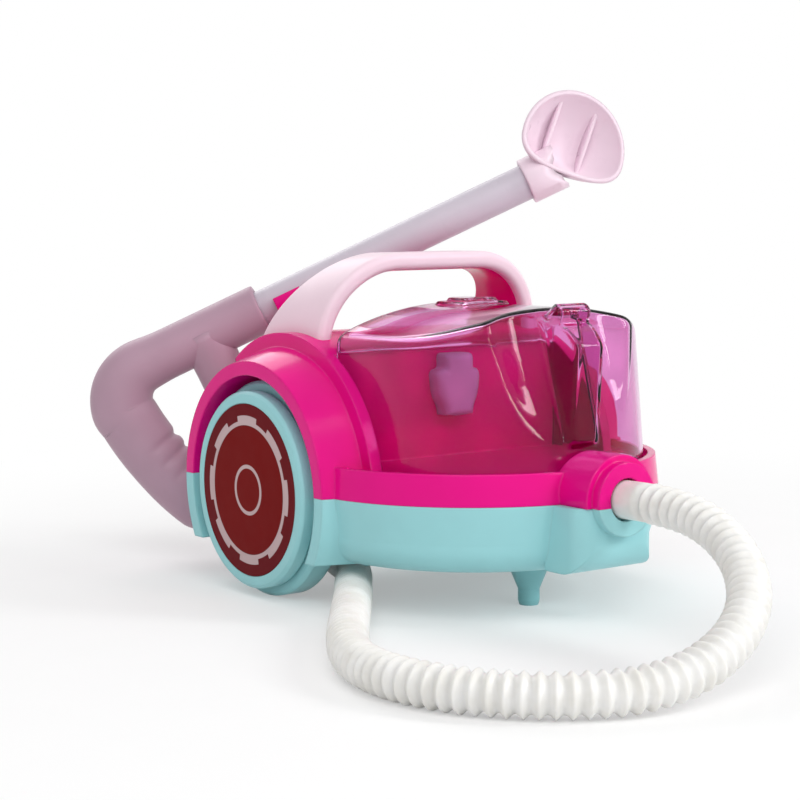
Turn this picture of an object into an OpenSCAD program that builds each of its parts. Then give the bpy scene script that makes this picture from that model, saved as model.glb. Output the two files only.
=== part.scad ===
// Toy canister vacuum cleaner: a two-part moulded body on two big wheels and a front foot,
// a clear dust cover, an arched carry handle, and a wand on a ribbed hose, parked at the back.
// The front of the toy looks along -Y, and z = 0 is the floor under the front foot.

/* [Body] */
// Outer radius of the front bowl at the seam
bowl_r = 58.5; // [52:0.5:64]
// Distance of the bowl's centre behind the front foot
bowl_y = 27; // [22:0.5:32]
// Height of the underside above the floor
ground_gap = 15; // [14.5:0.5:18]
// Height of the seam between the two shells
seam_z = 36; // [34:0.5:38]
// Height of the upper shell's rim above the seam
rim_h = 9.5; // [8:0.5:12]
// How far the bowl draws in from its seam down to its bottom edge
bowl_draft = 2; // [1:0.5:4]
// Radius of the bowl's bottom edge
bowl_edge_r = 9; // [6:0.5:12]
// Wall of both shells
wall = 2; // [1.6:0.1:2.4]
// Width of the rim that the dust cover stands inside
rim_w = 2.4; // [2:0.1:3]

/* [Rear housing] */
// Radius of the arched housing about the axle
housing_r = 49.5; // [47:0.5:52]
// Half width of the arched housing
housing_half_w = 49; // [47:0.5:51]
// Distance of the bulkhead ahead of the axle
bulkhead_ahead = 23.5; // [20:0.5:26]
// Distance of the flat rear wall behind the axle
rear_reach = 29.5; // [27:0.5:32]
// Radius of the housing's bottom rear edge
rear_edge_r = 8; // [4:0.5:8]
// Width of each cheek beside the dust cover
cheek_w = 4; // [3:0.5:5]
// Radius of a wheel cover where it leaves the housing
pod_root_r = 45; // [43:0.5:46]
// Radius of a wheel cover at its outer lip
pod_lip_r = 41; // [40:0.5:43]
// Width of a wheel cover
pod_w = 13; // [11:0.5:14]

/* [Nose and hose port] */
// Half width of the nose block
nose_half_w = 15; // [13:0.5:18]
// Distance of the nose's face ahead of the bowl's centre
nose_reach = 69; // [67:0.5:72]
// Height of the hose port
port_z = 38; // [37:0.5:40]
// Outer radius of the raised ring round the port
port_ring_r = 11; // [10:0.5:13]
// How far the port ring stands out of the nose
port_ring_len = 3; // [2:0.5:4]

/* [Wheels] */
// Tread radius of a wheel
wheel_r = 34.5; // [32:0.5:35]
// Width of a wheel
wheel_w = 13.6; // [12.6:0.2:14.6]
// Distance of the axle behind the front foot
axle_y = 63.5; // [60:0.5:66]
// Radius of the steel axle
axle_r = 2; // [1.5:0.1:2.5]
// Radius of a wheel's raised face
wheel_face_r = 31.5; // [30:0.5:32.5]
// Radius of the round label in a wheel's face
label_r = 27.5; // [24:0.5:29]

/* [Dust cover] */
// Base radius of the clear cover's round front
cover_r = 54; // [52:0.5:55]
// Radius that the cover's round front would have at its crown
cover_top_r = 50.5; // [49:0.5:52]
// Height of the cover's crown along its middle
cover_top_z = 93; // [90:0.5:96]
// Radius of the crown's arch from side to side
crown_r = 110; // [95:1:130]
// Wall of the clear cover
cover_wall = 1.6; // [1.2:0.1:2]
// Half width of the pouring spout at its front
spout_half_w = 5; // [4:0.5:6]
// Half width of the pouring spout where it leaves the panel
spout_root_half_w = 8; // [7:0.5:10]

/* [Carry handle] */
// Half width of the arched handle
handle_half_w = 44.5; // [43:0.5:46]
// Height of the handle's top
handle_top_z = 109; // [106:0.5:114]
// Thickness of the handle's band
handle_t = 5.5; // [5:0.5:7]
// Outer corner radius of the arch
handle_corner_r = 28; // [24:0.5:32]

/* [Wand] */
// Outer radius of the wand's tube
tube_r = 6.25; // [5.5:0.05:6.5]
// Wall of the wand's tube
tube_wall = 1; // [0.8:0.1:1.4]
// Length of the tube from the grip's mouth to the nozzle's collar
tube_len = 150; // [130:1:160]
// Radius of the round grip
grip_r = 11; // [10:0.5:12]
// Length of the grip below the tube
grip_drop = 50; // [46:0.5:52]
// Radius of the nozzle's round mouth
nozzle_r = 20; // [18:0.5:22]
// Depth of the nozzle's bowl
nozzle_depth = 13; // [11:0.5:15]

/* [Hose] */
// Outer radius of the hose over its ribs
hose_r = 6; // [5.6:0.1:6.2]
// Depth of the grooves between the ribs
groove_depth = 0.9; // [0.5:0.1:1]
// Radius of the hose's bore
hose_bore_r = 4.45; // [4.4:0.05:4.6]
// Number of ribs
rib_count = 112; // [60:1:130]

/* [Hidden] */
$fn = 96;
// One overrun for every cut
over = 1;
// Larger than any part of the body
far = 160;
// Clearance of fixed fits
fit = 0.15;
// Clearance of running fits
run_fit = 0.08;
// Clearance between pieces that move past each other
gap = 0.4;

// Heights and places of the body
axle_z = wheel_r;
rim_top_z = seam_z + rim_h;
deck_z = rim_top_z - wall - gap;
bulkhead_y = axle_y - bulkhead_ahead;
rear_wall_y = axle_y + rear_reach;
bowl_low_r = bowl_r - bowl_draft;
rim_taper = wall / 2;
rim_in_r = bowl_r - rim_taper - rim_w;
cheek_in_x = housing_half_w - cheek_w;
well_r = wheel_r + wall;
nose_y = bowl_y - nose_reach;
nose_root_y = bowl_y - bowl_low_r + 2 * wall;
nose_arch_r = nose_half_w - wall;
nose_corner_r = 6;
body_top_z = axle_z + housing_r;

// Inner walls: the motor's plate and the battery box
fan_room = 14;
motor_plate_y = bulkhead_y + fan_room;
motor_plate_t = 2.5;
cell_r = 7.2;
cell_len = 50;
cell_gap = 0.6;
box_half_x = cell_len / 2 + wall;
box_half_y = 2 * cell_r + cell_gap;
box_y = axle_y + wall;
box_wall = 1.6;
box_top_z = axle_z - axle_r - gap;
door_t = 1.4;
door_margin = 4;
door_seat_z = ground_gap + door_t;
door_boss_h = 9;
door_screw_len = 6;

// Fasteners
screw_r = 1.4;
screw_hole_r = screw_r + fit;
screw_head_r = 2.8;
screw_head_t = 1.8;
boss_r = 4;
case_boss_top = deck_z - wall;
door_screw_y = box_y - box_half_y - door_margin - boss_r;
case_front_x = 34;
case_front_ahead = 22;
case_rear_x = 38;
case_rear_in = 9;
case_screw_front = [case_front_x, bowl_y - case_front_ahead];
case_screw_rear = [case_rear_x, rear_wall_y - case_rear_in];
case_screw_seat = ground_gap + wall + screw_head_t;
case_screw_len = 20;

// Hose port
spigot_r = 4;
spigot_wall = 0.9;
spigot_out = 11;
spigot_in = 20;
flange_r = 8;
flange_t = 2.6;
flange_back = 7;
socket_r = hose_r + gap;

// Wheels: places along the axle
hub_gap = gap;
wheel_in_x = housing_half_w + hub_gap;
hub_recess = 3.4;
hub_len = wheel_w - hub_recess;
hub_r = 6;
web_t = 2.5;
rim_t = 3;
tread_w = 7.6;
groove_w = 1.2;
groove_in = 2;
face_bevel = 1;
label_t = 0.6;
screw_room_r = 5;
axle_end_x = wheel_in_x + hub_len + hub_gap / 2;
wheel_screw_r = 1.2;
wheel_screw_len = 8;
wheel_screw_head_r = 3.6;
wheel_screw_head_t = 1.6;
axle_boss_r = 5;
axle_boss_len = 7;

// Front foot
foot_cone_r = 6.5;
foot_neck_r = 3.4;
foot_tip_r = 3;
foot_knob_h = 5;
foot_stem_r = 2.5;
foot_stem_len = 6;
foot_boss_r = 5;

// Lamp on the bulkhead
lens_half_w = 9.5;
lens_foot_half_w = 7.5;
lens_h = 17;
lens_neck_half_w = 5.5;
lens_neck_h = 5;
lens_depth = 7;
lens_wall = 1.2;
lens_edge_r = 2;
lens_rise = 11;
lens_z = deck_z + lens_rise;
led_r = 2.5;
led_len = 5.4;
led_flange_r = 2.9;
led_flange_t = 1;
led_z = lens_z + lens_h / 2;

// Dust cover
cover_foot_z = deck_z + gap / 2;
cover_half_w = cheek_in_x - gap;
cover_rear_y = bulkhead_y - gap;
header_z = axle_z + sqrt(housing_r * housing_r - bulkhead_ahead * bulkhead_ahead) + gap;
panel_low_z = 51;
panel_high_z = 80;
panel_in = 0.6;
panel_draw = 8.7;
panel_low_y = bowl_y - cover_r + panel_in;
panel_high_y = panel_low_y + panel_draw;
panel_lean = atan(panel_draw / (panel_high_z - panel_low_z));
spout_out = 3.2;
spout_front_y = bowl_y - cover_r - spout_out;
spout_foot_z = 52;
spout_top_z = 88;
spout_root_in = 6;
spout_back_y = panel_high_y + spout_root_in;
spout_chamfer = 6;
lip_r = 3;
lip_half_w = 5.5;
lip_ahead = 2.5;
lip_y = panel_high_y - lip_ahead;
tab_half_w = 8;
tab_len = 12;
tab_rise = 1;
tab_step = 2.2;
tab_ahead = 10;
tab_y = cover_rear_y - tab_ahead;

// Carry handle: side profile from the feet to the top bar
handle_foot_ahead = 13;
handle_foot_behind = 26.5;
handle_top_in = 2.5;
handle_top_w = 15;
handle_foot_sink = 10;
handle_foot_front = axle_y - handle_foot_ahead;
handle_foot_rear = axle_y + handle_foot_behind;
handle_top_front = bulkhead_y + handle_top_in;
handle_top_rear = handle_top_front + handle_top_w;
handle_foot_z = body_top_z - handle_foot_sink;
handle_mid_front_share = 0.42;
handle_mid_rear_share = 0.75;
liner_t = 2.2;
liner_inset = 2.4;
handle_sweep_steps = 12;

// Motor, fan and switch
motor_r = 10;
motor_len = 25;
motor_nose_r = 3;
motor_nose_len = 1.6;
shaft_r = 1;
shaft_len = 12;
shaft_fit = 0.05;
motor_rise = 16;
motor_z = deck_z + motor_rise;
fan_r = 13;
fan_t = 6;
fan_hub_r = 3;
fan_plate_t = 1.2;
fan_blade_t = 1;
fan_blades = 9;
fan_gap = 2;
fan_y = motor_plate_y - fan_gap;
switch_x = 30;
switch_z = 54;
switch_half_w = 7;
switch_half_h = 3.5;
switch_depth = 5;
knob_half_w = 2;
knob_half_h = 1.6;
knob_out = 2.2;
switch_travel = 4;
vent_count = 5;
vent_pitch = 4;
vent_w = 2;
vent_h = 14;
vent_x = 8;
vent_z = 56;

// Wand: its place when parked, and the pieces along it
wand_left = 50;
wand_behind = 49;
wand_z = 72;
wand_base = [-wand_left, rear_wall_y + wand_behind, wand_z];
wand_yaw = -35.9;
wand_rise = 25;
neck_wall = 2.6;
neck_r = tube_r + neck_wall;
bend_swell = 0.5;
bend_r = grip_r + bend_swell;
grip_back = 20;
grip_curve_r = 95;
grip_lean = 4;
grip_turn = asin(grip_drop / grip_curve_r);
grip_finger_r = 9;
grip_finger_pitch = 10;
grip_finger_in = 1.4;
grip_fingers = 3;
stub_x = 17;
stub_r = 8.4;
stub_len = 21;
stub_socket = 9;
stub_bore_r = 4.2;
tube_seat = 14;
tube_start = stub_x + stub_r;
neck_end = tube_start + tube_seat;
grip_screw_in = [2, -3];
grip_screw_drop = [8, 36];
grip_screw_r = 1.2;
grip_screw_len = 13;
grip_screw_head_r = 2.4;
grip_screw_head_t = 1.4;

// Wand clip on the rear wall
clip_at = 50;
clip_len = 10;
clip_t = 2.6;
clip_r = tube_r + gap;
clip_lip = 1.5;
clip_arm_w = 9;
clip_plate_half_w = 9;
clip_plate_t = 2.4;
clip_plate_low_z = 46;
clip_plate_high_z = 70;

// Nozzle
collar_len = 8;
collar_wall = 1.8;
collar_r = tube_r + collar_wall;
nozzle_wall = 1.7;
nozzle_cut = 10.5;
nozzle_neck = 5;
nozzle_turn = [0, 42, 24];
nozzle_shift = [12, -2, 4];
nozzle_ball_r = (nozzle_r * nozzle_r + nozzle_depth * nozzle_depth) / (2 * nozzle_depth);
nozzle_rib_t = 1.4;
nozzle_rib_x = [-7, 7];
nozzle_rib_low_share = 0.7;
nozzle_rib_high_share = 0.1;

// Route of the hose, from the port's face to the wand's socket
hose_route = [
    [0, -42.5, 38], [0, -58.5, 38], [0, -74.5, 36], [-3, -89.5, 31], [-10, -102.5, 25], [-20.5, -113, 19],
    [-34, -120, 13.5], [-49, -122.5, 9], [-64.5, -120.5, 6.6], [-79, -114, 6.1], [-91, -103.5, 6.1],
    [-99.5, -90, 6.1], [-103.5, -74.5, 6.1], [-102.5, -59, 6.1], [-97.5, -44.5, 6.1], [-89.5, -31, 6.1],
    [-80.5, -18, 6.1], [-71, -5, 6.1], [-61.5, 8, 6.1], [-52, 21, 6.1], [-43, 34, 6.1], [-34, 47, 6.1],
    [-26, 61, 6.1], [-20.2, 76, 6.3], [-17.2, 91.5, 10], [-17.2, 105.5, 18], [-19.5, 116.2, 29.5],
    [-24, 123, 43], [-28.7, 126.6, 56], [-33.2, 129.9, 67.8]
];
hose_sides = 8;
hose_steps = 6;
bore_rings = 64;
hose_cuff_len = 12;
hose_cuff_r = 5.7;

// Shared shapes

// A round bar along X between two places
module bar_x(r, x0, x1) {
    translate([x0, 0, 0])
        rotate([0, 90, 0])
            cylinder(r = r, h = x1 - x0);
}

// A round bar along Y between two places
module bar_y(r, y0, y1) {
    translate([0, y0, 0])
        rotate([-90, 0, 0])
            cylinder(r = r, h = y1 - y0);
}

// A box from its lowest corner to its highest corner
module box(low, high) {
    translate(low)
        cube(high - low);
}

// All space between two heights
module slab(z0, z1) {
    box([-far, -far, z0], [far, 2 * far, z1]);
}

module at_axle() {
    translate([0, axle_y, axle_z])
        children();
}

module both_sides() {
    children();
    mirror([1, 0, 0])
        children();
}

// Section of the bowl below the seam, drawn in by a wall's thickness or by none
module bowl_section(inset) {
    edge = bowl_edge_r - inset;
    low_r = bowl_low_r - inset;
    bottom = ground_gap + inset;
    polygon([[0, bottom + edge], [low_r, bottom + edge], [bowl_r - inset, seam_z], [0, seam_z]]);
    translate([0, bottom])
        square([low_r - edge, edge]);
    translate([low_r - edge, bottom + edge])
        circle(edge);
}

// Section of the rim above the seam
module rim_section() {
    polygon([[0, seam_z], [bowl_r, seam_z], [bowl_r - rim_taper, rim_top_z], [0, rim_top_z]]);
}

// Front half of a turned bowl
module front_half() {
    intersection() {
        translate([0, bowl_y, 0])
            rotate_extrude()
                children();
        box([-far, -far, 0], [far, bowl_y, far]);
    }
}

// The arched housing about the axle, with its flat rear wall, drawn in by a wall or by none
module housing_form(inset) {
    intersection() {
        at_axle()
            bar_x(housing_r - inset, inset - housing_half_w, housing_half_w - inset);
        translate([-far, 0, 0])
            rotate([90, 0, 90])
                linear_extrude(height = 2 * far)
                    housing_side(ground_gap + inset, rear_wall_y - inset, rear_edge_r - inset);
    }
}

// Side view of the housing's flat bottom and rear wall, with the round edge between them
module housing_side(low, rear, edge) {
    translate([0, low + edge])
        square([rear, far]);
    translate([0, low])
        square([rear - edge, far]);
    translate([rear - edge, low + edge])
        circle(edge);
}

// A wheel cover on each side of the housing, closed below at the underside's height
module pods() {
    intersection() {
        both_sides()
            at_axle()
                translate([housing_half_w, 0, 0])
                    rotate([0, 90, 0])
                        cylinder(r1 = pod_root_r, r2 = pod_lip_r, h = pod_w);
        slab(ground_gap, far);
    }
}

// Inner walls of the wheel covers, which run on behind the rear wall
module cheeks() {
    intersection() {
        both_sides()
            at_axle()
                bar_x(pod_root_r, cheek_in_x, housing_half_w);
        slab(ground_gap, far);
    }
}

// Room for both wheels
module wheel_wells() {
    both_sides()
        at_axle()
            bar_x(well_r, housing_half_w, far);
}

// The walls round the wheel wells and the bosses that hold the axle stay in the hollow body
module well_walls() {
    both_sides()
        at_axle() {
            bar_x(well_r + wall, housing_half_w - wall, far);
            bar_x(axle_boss_r, housing_half_w - wall - axle_boss_len, far);
        }
}

// Nose block round the hose port: a plan with round corners, under a side view with a round bottom edge
module nose_plan() {
    front = nose_y + nose_corner_r;
    translate([-nose_half_w, front])
        square([2 * nose_half_w, nose_root_y - front]);
    translate([nose_corner_r - nose_half_w, nose_y])
        square([2 * (nose_half_w - nose_corner_r), nose_corner_r]);
    for (side = [-1, 1])
        translate([side * (nose_half_w - nose_corner_r), front])
            circle(nose_corner_r);
}

module nose_side() {
    front = nose_y + bowl_edge_r;
    low = ground_gap + wall / 2;
    translate([nose_y, low + bowl_edge_r])
        square([nose_root_y - nose_y, seam_z - low - bowl_edge_r]);
    translate([front, low])
        square([nose_root_y - front, bowl_edge_r]);
    translate([front, low + bowl_edge_r])
        circle(bowl_edge_r);
}

module nose_block() {
    intersection() {
        linear_extrude(height = seam_z)
            nose_plan();
        translate([-far, 0, 0])
            rotate([90, 0, 90])
                linear_extrude(height = 2 * far)
                    nose_side();
    }
}

// The nose's arch and the raised ring round the port
module nose_arch() {
    translate([0, 0, port_z])
        bar_y(nose_arch_r, nose_y, nose_root_y);
}

module port_ring() {
    translate([0, 0, port_z])
        bar_y(port_ring_r, nose_y - port_ring_len, nose_y);
}

// Everything cut out for the hose and its flanged spigot
module port_bores() {
    translate([0, 0, port_z]) {
        bar_y(spigot_r + fit, nose_y - over, max(nose_root_y, nose_y + spigot_in) + over);
        bar_y(socket_r, nose_y - port_ring_len - over, nose_y);
        bar_y(flange_r + fit, nose_y + flange_back - fit, nose_y + flange_back + flange_t + fit);
    }
}

module axle_bore() {
    at_axle()
        bar_x(axle_r + fit, -far, far);
}

// The four case screw places
module case_screw_places() {
    for (place = [case_screw_front, case_screw_rear])
        both_sides()
            translate([place.x, place.y, 0])
                children();
}

// Shells of the body

// Hollow of the lower shell
module lower_room() {
    difference() {
        union() {
            front_half()
                bowl_section(wall);
            intersection() {
                housing_form(wall);
                box([-far, bowl_y - over, 0], [far, far, seam_z + over]);
            }
            translate([0, bowl_y, seam_z])
                intersection() {
                    cylinder(r = bowl_low_r - wall, h = over);
                    box([-far, -far, 0], [far, 0, far]);
                }
        }
        well_walls();
        nose_block();
        box_walls();
        case_screw_places()
            translate([0, 0, ground_gap])
                cylinder(r = boss_r, h = seam_z);
        cylinder(r = foot_boss_r, h = ground_gap + foot_stem_len + 2 * wall);
        translate([0, door_screw_y, ground_gap])
            cylinder(r = boss_r + wall, h = door_boss_h);
    }
}

// Four walls of the battery box
module box_walls() {
    translate([0, box_y, 0])
        box([-box_half_x - box_wall, -box_half_y - box_wall, ground_gap],
            [box_half_x + box_wall, box_half_y + box_wall, box_top_z]);
}

module battery_room() {
    translate([0, box_y, 0])
        box([-box_half_x, -box_half_y, ground_gap - over], [box_half_x, box_half_y, box_top_z + over]);
    door_plate(0, ground_gap - over);
}

// The battery door with its screw tab, drawn in by a clearance or by none
module door_plate(inset, low) {
    half_x = box_half_x + door_margin - inset;
    half_y = box_half_y + door_margin - inset;
    translate([0, box_y, 0])
        box([-half_x, -half_y, low], [half_x, half_y, door_seat_z]);
    translate([0, door_screw_y, low])
        cylinder(r = boss_r - inset, h = door_seat_z - low);
    box([inset - boss_r, door_screw_y, low], [boss_r - inset, box_y, door_seat_z]);
}

module lower_shell() {
    color("PaleTurquoise")
        difference() {
            union() {
                front_half()
                    bowl_section(0);
                intersection() {
                    union() {
                        housing_form(0);
                        cheeks();
                        pods();
                    }
                    slab(ground_gap, seam_z);
                }
                nose_block();
                intersection() {
                    port_ring();
                    slab(0, seam_z);
                }
            }
            lower_room();
            wheel_wells();
            axle_bore();
            port_bores();
            battery_room();
            case_screw_places() {
                cylinder(r = screw_hole_r, h = far);
                cylinder(r = screw_head_r + fit, h = case_screw_seat);
            }
            translate([0, door_screw_y, 0])
                cylinder(r = screw_hole_r, h = door_seat_z + door_screw_len);
            cylinder(r = foot_stem_r + fit, h = ground_gap + foot_stem_len + fit);
        }
}

// Room for the dust cover between the cheeks and inside the rim
module cover_room() {
    translate([0, bowl_y, deck_z])
        intersection() {
            cylinder(r = rim_in_r, h = far);
            box([-cheek_in_x, -far, 0], [cheek_in_x, bulkhead_y - bowl_y, far]);
        }
    difference() {
        translate([0, bowl_y, deck_z])
            intersection() {
                cylinder(r = rim_in_r, h = far);
                box([-far, -far, 0], [far, 0, far]);
            }
        housing_form(0);
        pods();
    }
}

// Rooms behind the bulkhead, either side of the motor's plate
module housing_rooms() {
    for (span = [[bulkhead_y + wall, motor_plate_y], [motor_plate_y + motor_plate_t, rear_wall_y]])
        intersection() {
            housing_form(wall);
            box([-far, span[0], deck_z], [far, span[1], far]);
        }
}

// Hollow below the deck
module under_deck() {
    difference() {
        union() {
            intersection() {
                translate([0, bowl_y, seam_z - over])
                    cylinder(r = bowl_r - rim_taper - wall, h = deck_z - wall - seam_z + over);
                box([-far, -far, 0], [far, bowl_y, far]);
            }
            intersection() {
                housing_form(wall);
                box([-far, bowl_y - over, 0], [far, far, deck_z - wall]);
            }
        }
        well_walls();
        nose_arch();
        case_screw_places()
            cylinder(r = boss_r, h = far);
    }
}

module upper_shell() {
    color("DeepPink")
        difference() {
            intersection() {
                union() {
                    front_half()
                        rim_section();
                    housing_form(0);
                    cheeks();
                    pods();
                    nose_arch();
                    port_ring();
                }
                slab(seam_z, far);
            }
            cover_room();
            housing_rooms();
            under_deck();
            wheel_wells();
            axle_bore();
            port_bores();
            case_screw_places()
                cylinder(r = screw_hole_r, h = case_boss_top - over);
            // Holes for the lamp and the motor's nose
            translate([0, 0, led_z])
                bar_y(led_r + fit, bulkhead_y - over, bulkhead_y + wall + over);
            translate([0, 0, motor_z])
                bar_y(motor_nose_r + fit, motor_plate_y - over, motor_plate_y + motor_plate_t + over);
            // Slot for the switch and the exhaust slots in the rear wall
            translate([switch_x, rear_wall_y, switch_z])
                box([-knob_half_w - switch_travel / 2 - gap, -wall - over, -knob_half_h - gap],
                    [knob_half_w + switch_travel / 2 + gap, over, knob_half_h + gap]);
            for (i = [0 : vent_count - 1])
                translate([vent_x + (i - (vent_count - 1) / 2) * vent_pitch, rear_wall_y, vent_z])
                    box([-vent_w / 2, -wall - over, -vent_h / 2], [vent_w / 2, over, vent_h / 2]);
        }
}

// Carry handle

// Arch across the width, from its half width, its top and its corner radius
module arch_section(half_w, top, corner) {
    translate([-half_w, 0])
        square([2 * half_w, top - corner]);
    translate([-half_w + corner, 0])
        square([2 * (half_w - corner), top]);
    for (side = [-1, 1])
        translate([side * (half_w - corner), top - corner])
            circle(corner);
}

module arch_block(half_w, top, corner) {
    translate([0, far, 0])
        rotate([90, 0, 0])
            linear_extrude(height = 2 * far)
                arch_section(half_w, top, corner);
}

// Side view of the handle: wide feet that sweep up and forward to a narrower top bar
function sweep(low, high, share, t) = low + (high - low) * (share * t + (1 - share) * t * t);

function handle_side(inset) =
    let (rise = handle_top_z + over - handle_foot_z, last = handle_sweep_steps)
    concat(
        [for (i = [0 : last]) let (t = i / last)
            [sweep(handle_foot_front, handle_top_front, handle_mid_front_share, t) + inset,
             handle_foot_z + rise * t]],
        [for (i = [last : -1 : 0]) let (t = i / last)
            [sweep(handle_foot_rear, handle_top_rear, handle_mid_rear_share, t) - inset,
             handle_foot_z + rise * t]]
    );

module handle_side_block(inset) {
    translate([-far, 0, 0])
        rotate([90, 0, 90])
            linear_extrude(height = 2 * far)
                polygon(handle_side(inset));
}

// A band of the arch, from an outer arch and an inner one
module handle_band(outer_in, inner_in, side_inset) {
    difference() {
        intersection() {
            arch_block(handle_half_w - outer_in, handle_top_z - outer_in, handle_corner_r - outer_in);
            handle_side_block(side_inset);
        }
        arch_block(handle_half_w - inner_in, handle_top_z - inner_in, handle_corner_r - inner_in);
        at_axle()
            bar_x(housing_r, -far, far);
    }
}

module carry_handle() {
    color("LavenderBlush")
        difference() {
            handle_band(0, handle_t, 0);
            handle_band(handle_t - liner_t - fit, handle_t + over, liner_inset - fit);
        }
}

module handle_liner() {
    color("MediumVioletRed")
        handle_band(handle_t - liner_t, handle_t, liner_inset);
}

// Dust cover

// Outer form of the cover, drawn in by its wall or by none
module cover_form(inset) {
    intersection() {
        translate([0, bowl_y, cover_foot_z])
            cylinder(r1 = cover_r - inset, r2 = cover_top_r - inset, h = cover_top_z - cover_foot_z);
        box([-cover_half_w + inset, -far, 0], [cover_half_w - inset, cover_rear_y - inset, far]);
        translate([0, 0, cover_top_z - crown_r])
            bar_y(crown_r - inset, -far, far);
        // Leaning front panel
        translate([0, panel_low_y + inset, panel_low_z])
            rotate([-panel_lean, 0, 0])
                box([-far, 0, -far], [far, 2 * far, far]);
    }
    spout_form(inset);
}

// Pouring spout that stands out of the panel
module spout_form(inset) {
    front = spout_front_y + inset;
    high = spout_top_z - inset;
    low = spout_foot_z + inset;
    intersection() {
        linear_extrude(height = far)
            polygon([[-spout_half_w + inset, front], [spout_half_w - inset, front],
                [spout_root_half_w - inset, spout_back_y], [-spout_root_half_w + inset, spout_back_y]]);
        translate([-far, 0, 0])
            rotate([90, 0, 90])
                linear_extrude(height = 2 * far)
                    polygon([[front, low], [front, high - spout_chamfer], [front + spout_chamfer, high],
                        [spout_back_y, high + spout_chamfer / 2], [spout_back_y, low + 2 * spout_chamfer]]);
    }
}

// Stepped finger tab on the crown next to the handle
module cover_tab() {
    for (step = [0, 1]) {
        half_len = tab_len / 2 - step * tab_step;
        half_w = tab_half_w - step * tab_step;
        translate([0, tab_y, cover_top_z - crown_r])
            intersection() {
                bar_y(crown_r + tab_rise * (step + 1), -half_len, half_len);
                box([-half_w, -far, crown_r - cover_wall], [half_w, far, far]);
            }
    }
}

module dust_cover() {
    color("MediumVioletRed", 0.5)
        difference() {
            union() {
                cover_form(0);
                cover_tab();
                // Rolled finger lip over the spout
                translate([0, lip_y, spout_top_z + lip_r / 2])
                    bar_x(lip_r, -lip_half_w, lip_half_w);
            }
            cover_form(cover_wall);
            // Open foot and open back below the header
            box([-far, -far, -over], [far, far, cover_foot_z]);
            box([-cover_half_w + cover_wall, cover_rear_y - cover_wall - over, 0],
                [cover_half_w - cover_wall, cover_rear_y + over, header_z]);
        }
}

// Lamp

// Shield outline of the lens, drawn in by its wall or by none
module lens_outline(inset) {
    foot = lens_foot_half_w - inset;
    half = lens_half_w - inset;
    neck = lens_neck_half_w - inset;
    polygon([[-foot, inset], [foot, inset], [half, lens_h - lens_edge_r],
        [half - lens_edge_r, lens_h - inset], [neck, lens_h - inset],
        [neck, lens_h + lens_neck_h - inset], [-neck, lens_h + lens_neck_h - inset],
        [-neck, lens_h - inset], [lens_edge_r - half, lens_h - inset], [-half, lens_h - lens_edge_r]]);
}

module lens_block(inset, depth) {
    translate([0, bulkhead_y, lens_z])
        rotate([90, 0, 0])
            linear_extrude(height = depth)
                lens_outline(inset);
}

module lamp_lens() {
    color("GhostWhite", 0.4)
        difference() {
            lens_block(0, lens_depth);
            translate([0, over, 0])
                lens_block(lens_wall, lens_depth - lens_wall + over);
        }
}

module lamp_led() {
    color("White")
        translate([0, bulkhead_y, led_z]) {
            bar_y(led_r, -led_len / 2, wall);
            translate([0, -led_len / 2, 0])
                intersection() {
                    sphere(led_r);
                    box([-led_r, -led_r, -led_r], [led_r, 0, led_r]);
                }
            bar_y(led_flange_r, wall, wall + led_flange_t);
        }
}

// Hose port and front foot

module hose_spigot() {
    color("WhiteSmoke")
        translate([0, 0, port_z])
            difference() {
                union() {
                    bar_y(spigot_r, nose_y - spigot_out, nose_y + spigot_in);
                    bar_y(flange_r, nose_y + flange_back, nose_y + flange_back + flange_t);
                }
                bar_y(spigot_r - spigot_wall, nose_y - spigot_out - over, nose_y + spigot_in + over);
            }
}

module front_foot() {
    color("PaleTurquoise")
        rotate_extrude()
            polygon([[0, 0], [foot_tip_r, 0], [foot_neck_r, foot_tip_r / 2], [foot_neck_r, foot_knob_h],
                [foot_cone_r, ground_gap - foot_knob_h / 2], [foot_cone_r, ground_gap],
                [foot_stem_r, ground_gap], [foot_stem_r, ground_gap + foot_stem_len],
                [0, ground_gap + foot_stem_len]]);
}

// Wheels

module wheel_axle() {
    color("Silver")
        at_axle()
            difference() {
                bar_x(axle_r, -axle_end_x, axle_end_x);
                both_sides()
                    bar_x(wheel_screw_r, axle_end_x - wheel_screw_len, axle_end_x + over);
            }
}

module wheel_screws() {
    color("Silver")
        both_sides()
            at_axle() {
                bar_x(wheel_screw_r, axle_end_x - wheel_screw_len, axle_end_x);
                bar_x(wheel_screw_head_r, axle_end_x, axle_end_x + wheel_screw_head_t);
            }
}

// A hollow wheel with a stepped face, turned about the axle on the +X side
module wheel_form() {
    bore = axle_r + run_fit;
    face_x = tread_w + groove_w;
    at_axle()
        translate([wheel_in_x, 0, 0])
            rotate([0, 90, 0])
                rotate_extrude()
                    polygon([[bore, 0], [hub_r, 0], [hub_r, hub_len - web_t],
                        [wheel_face_r - rim_t, hub_len - web_t], [wheel_face_r - rim_t, wall],
                        [wheel_r - rim_t, 0], [wheel_r, 0], [wheel_r, tread_w - face_bevel],
                        [wheel_r - face_bevel, tread_w], [wheel_face_r - groove_in, tread_w],
                        [wheel_face_r - groove_in, face_x], [wheel_face_r, face_x],
                        [wheel_face_r, wheel_w - face_bevel], [wheel_face_r - face_bevel, wheel_w],
                        [label_r + fit, wheel_w], [label_r + fit, wheel_w - label_t],
                        [screw_room_r, wheel_w - label_t], [screw_room_r, hub_len], [bore, hub_len]]);
}

module label_form() {
    at_axle()
        bar_x(label_r, wheel_in_x + wheel_w - label_t, wheel_in_x + wheel_w);
}

module left_wheel() {
    color("PaleTurquoise")
        mirror([1, 0, 0])
            wheel_form();
}

module left_wheel_label() {
    color("FireBrick")
        mirror([1, 0, 0])
            label_form();
}

module right_wheel() {
    color("PaleTurquoise")
        wheel_form();
}

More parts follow.
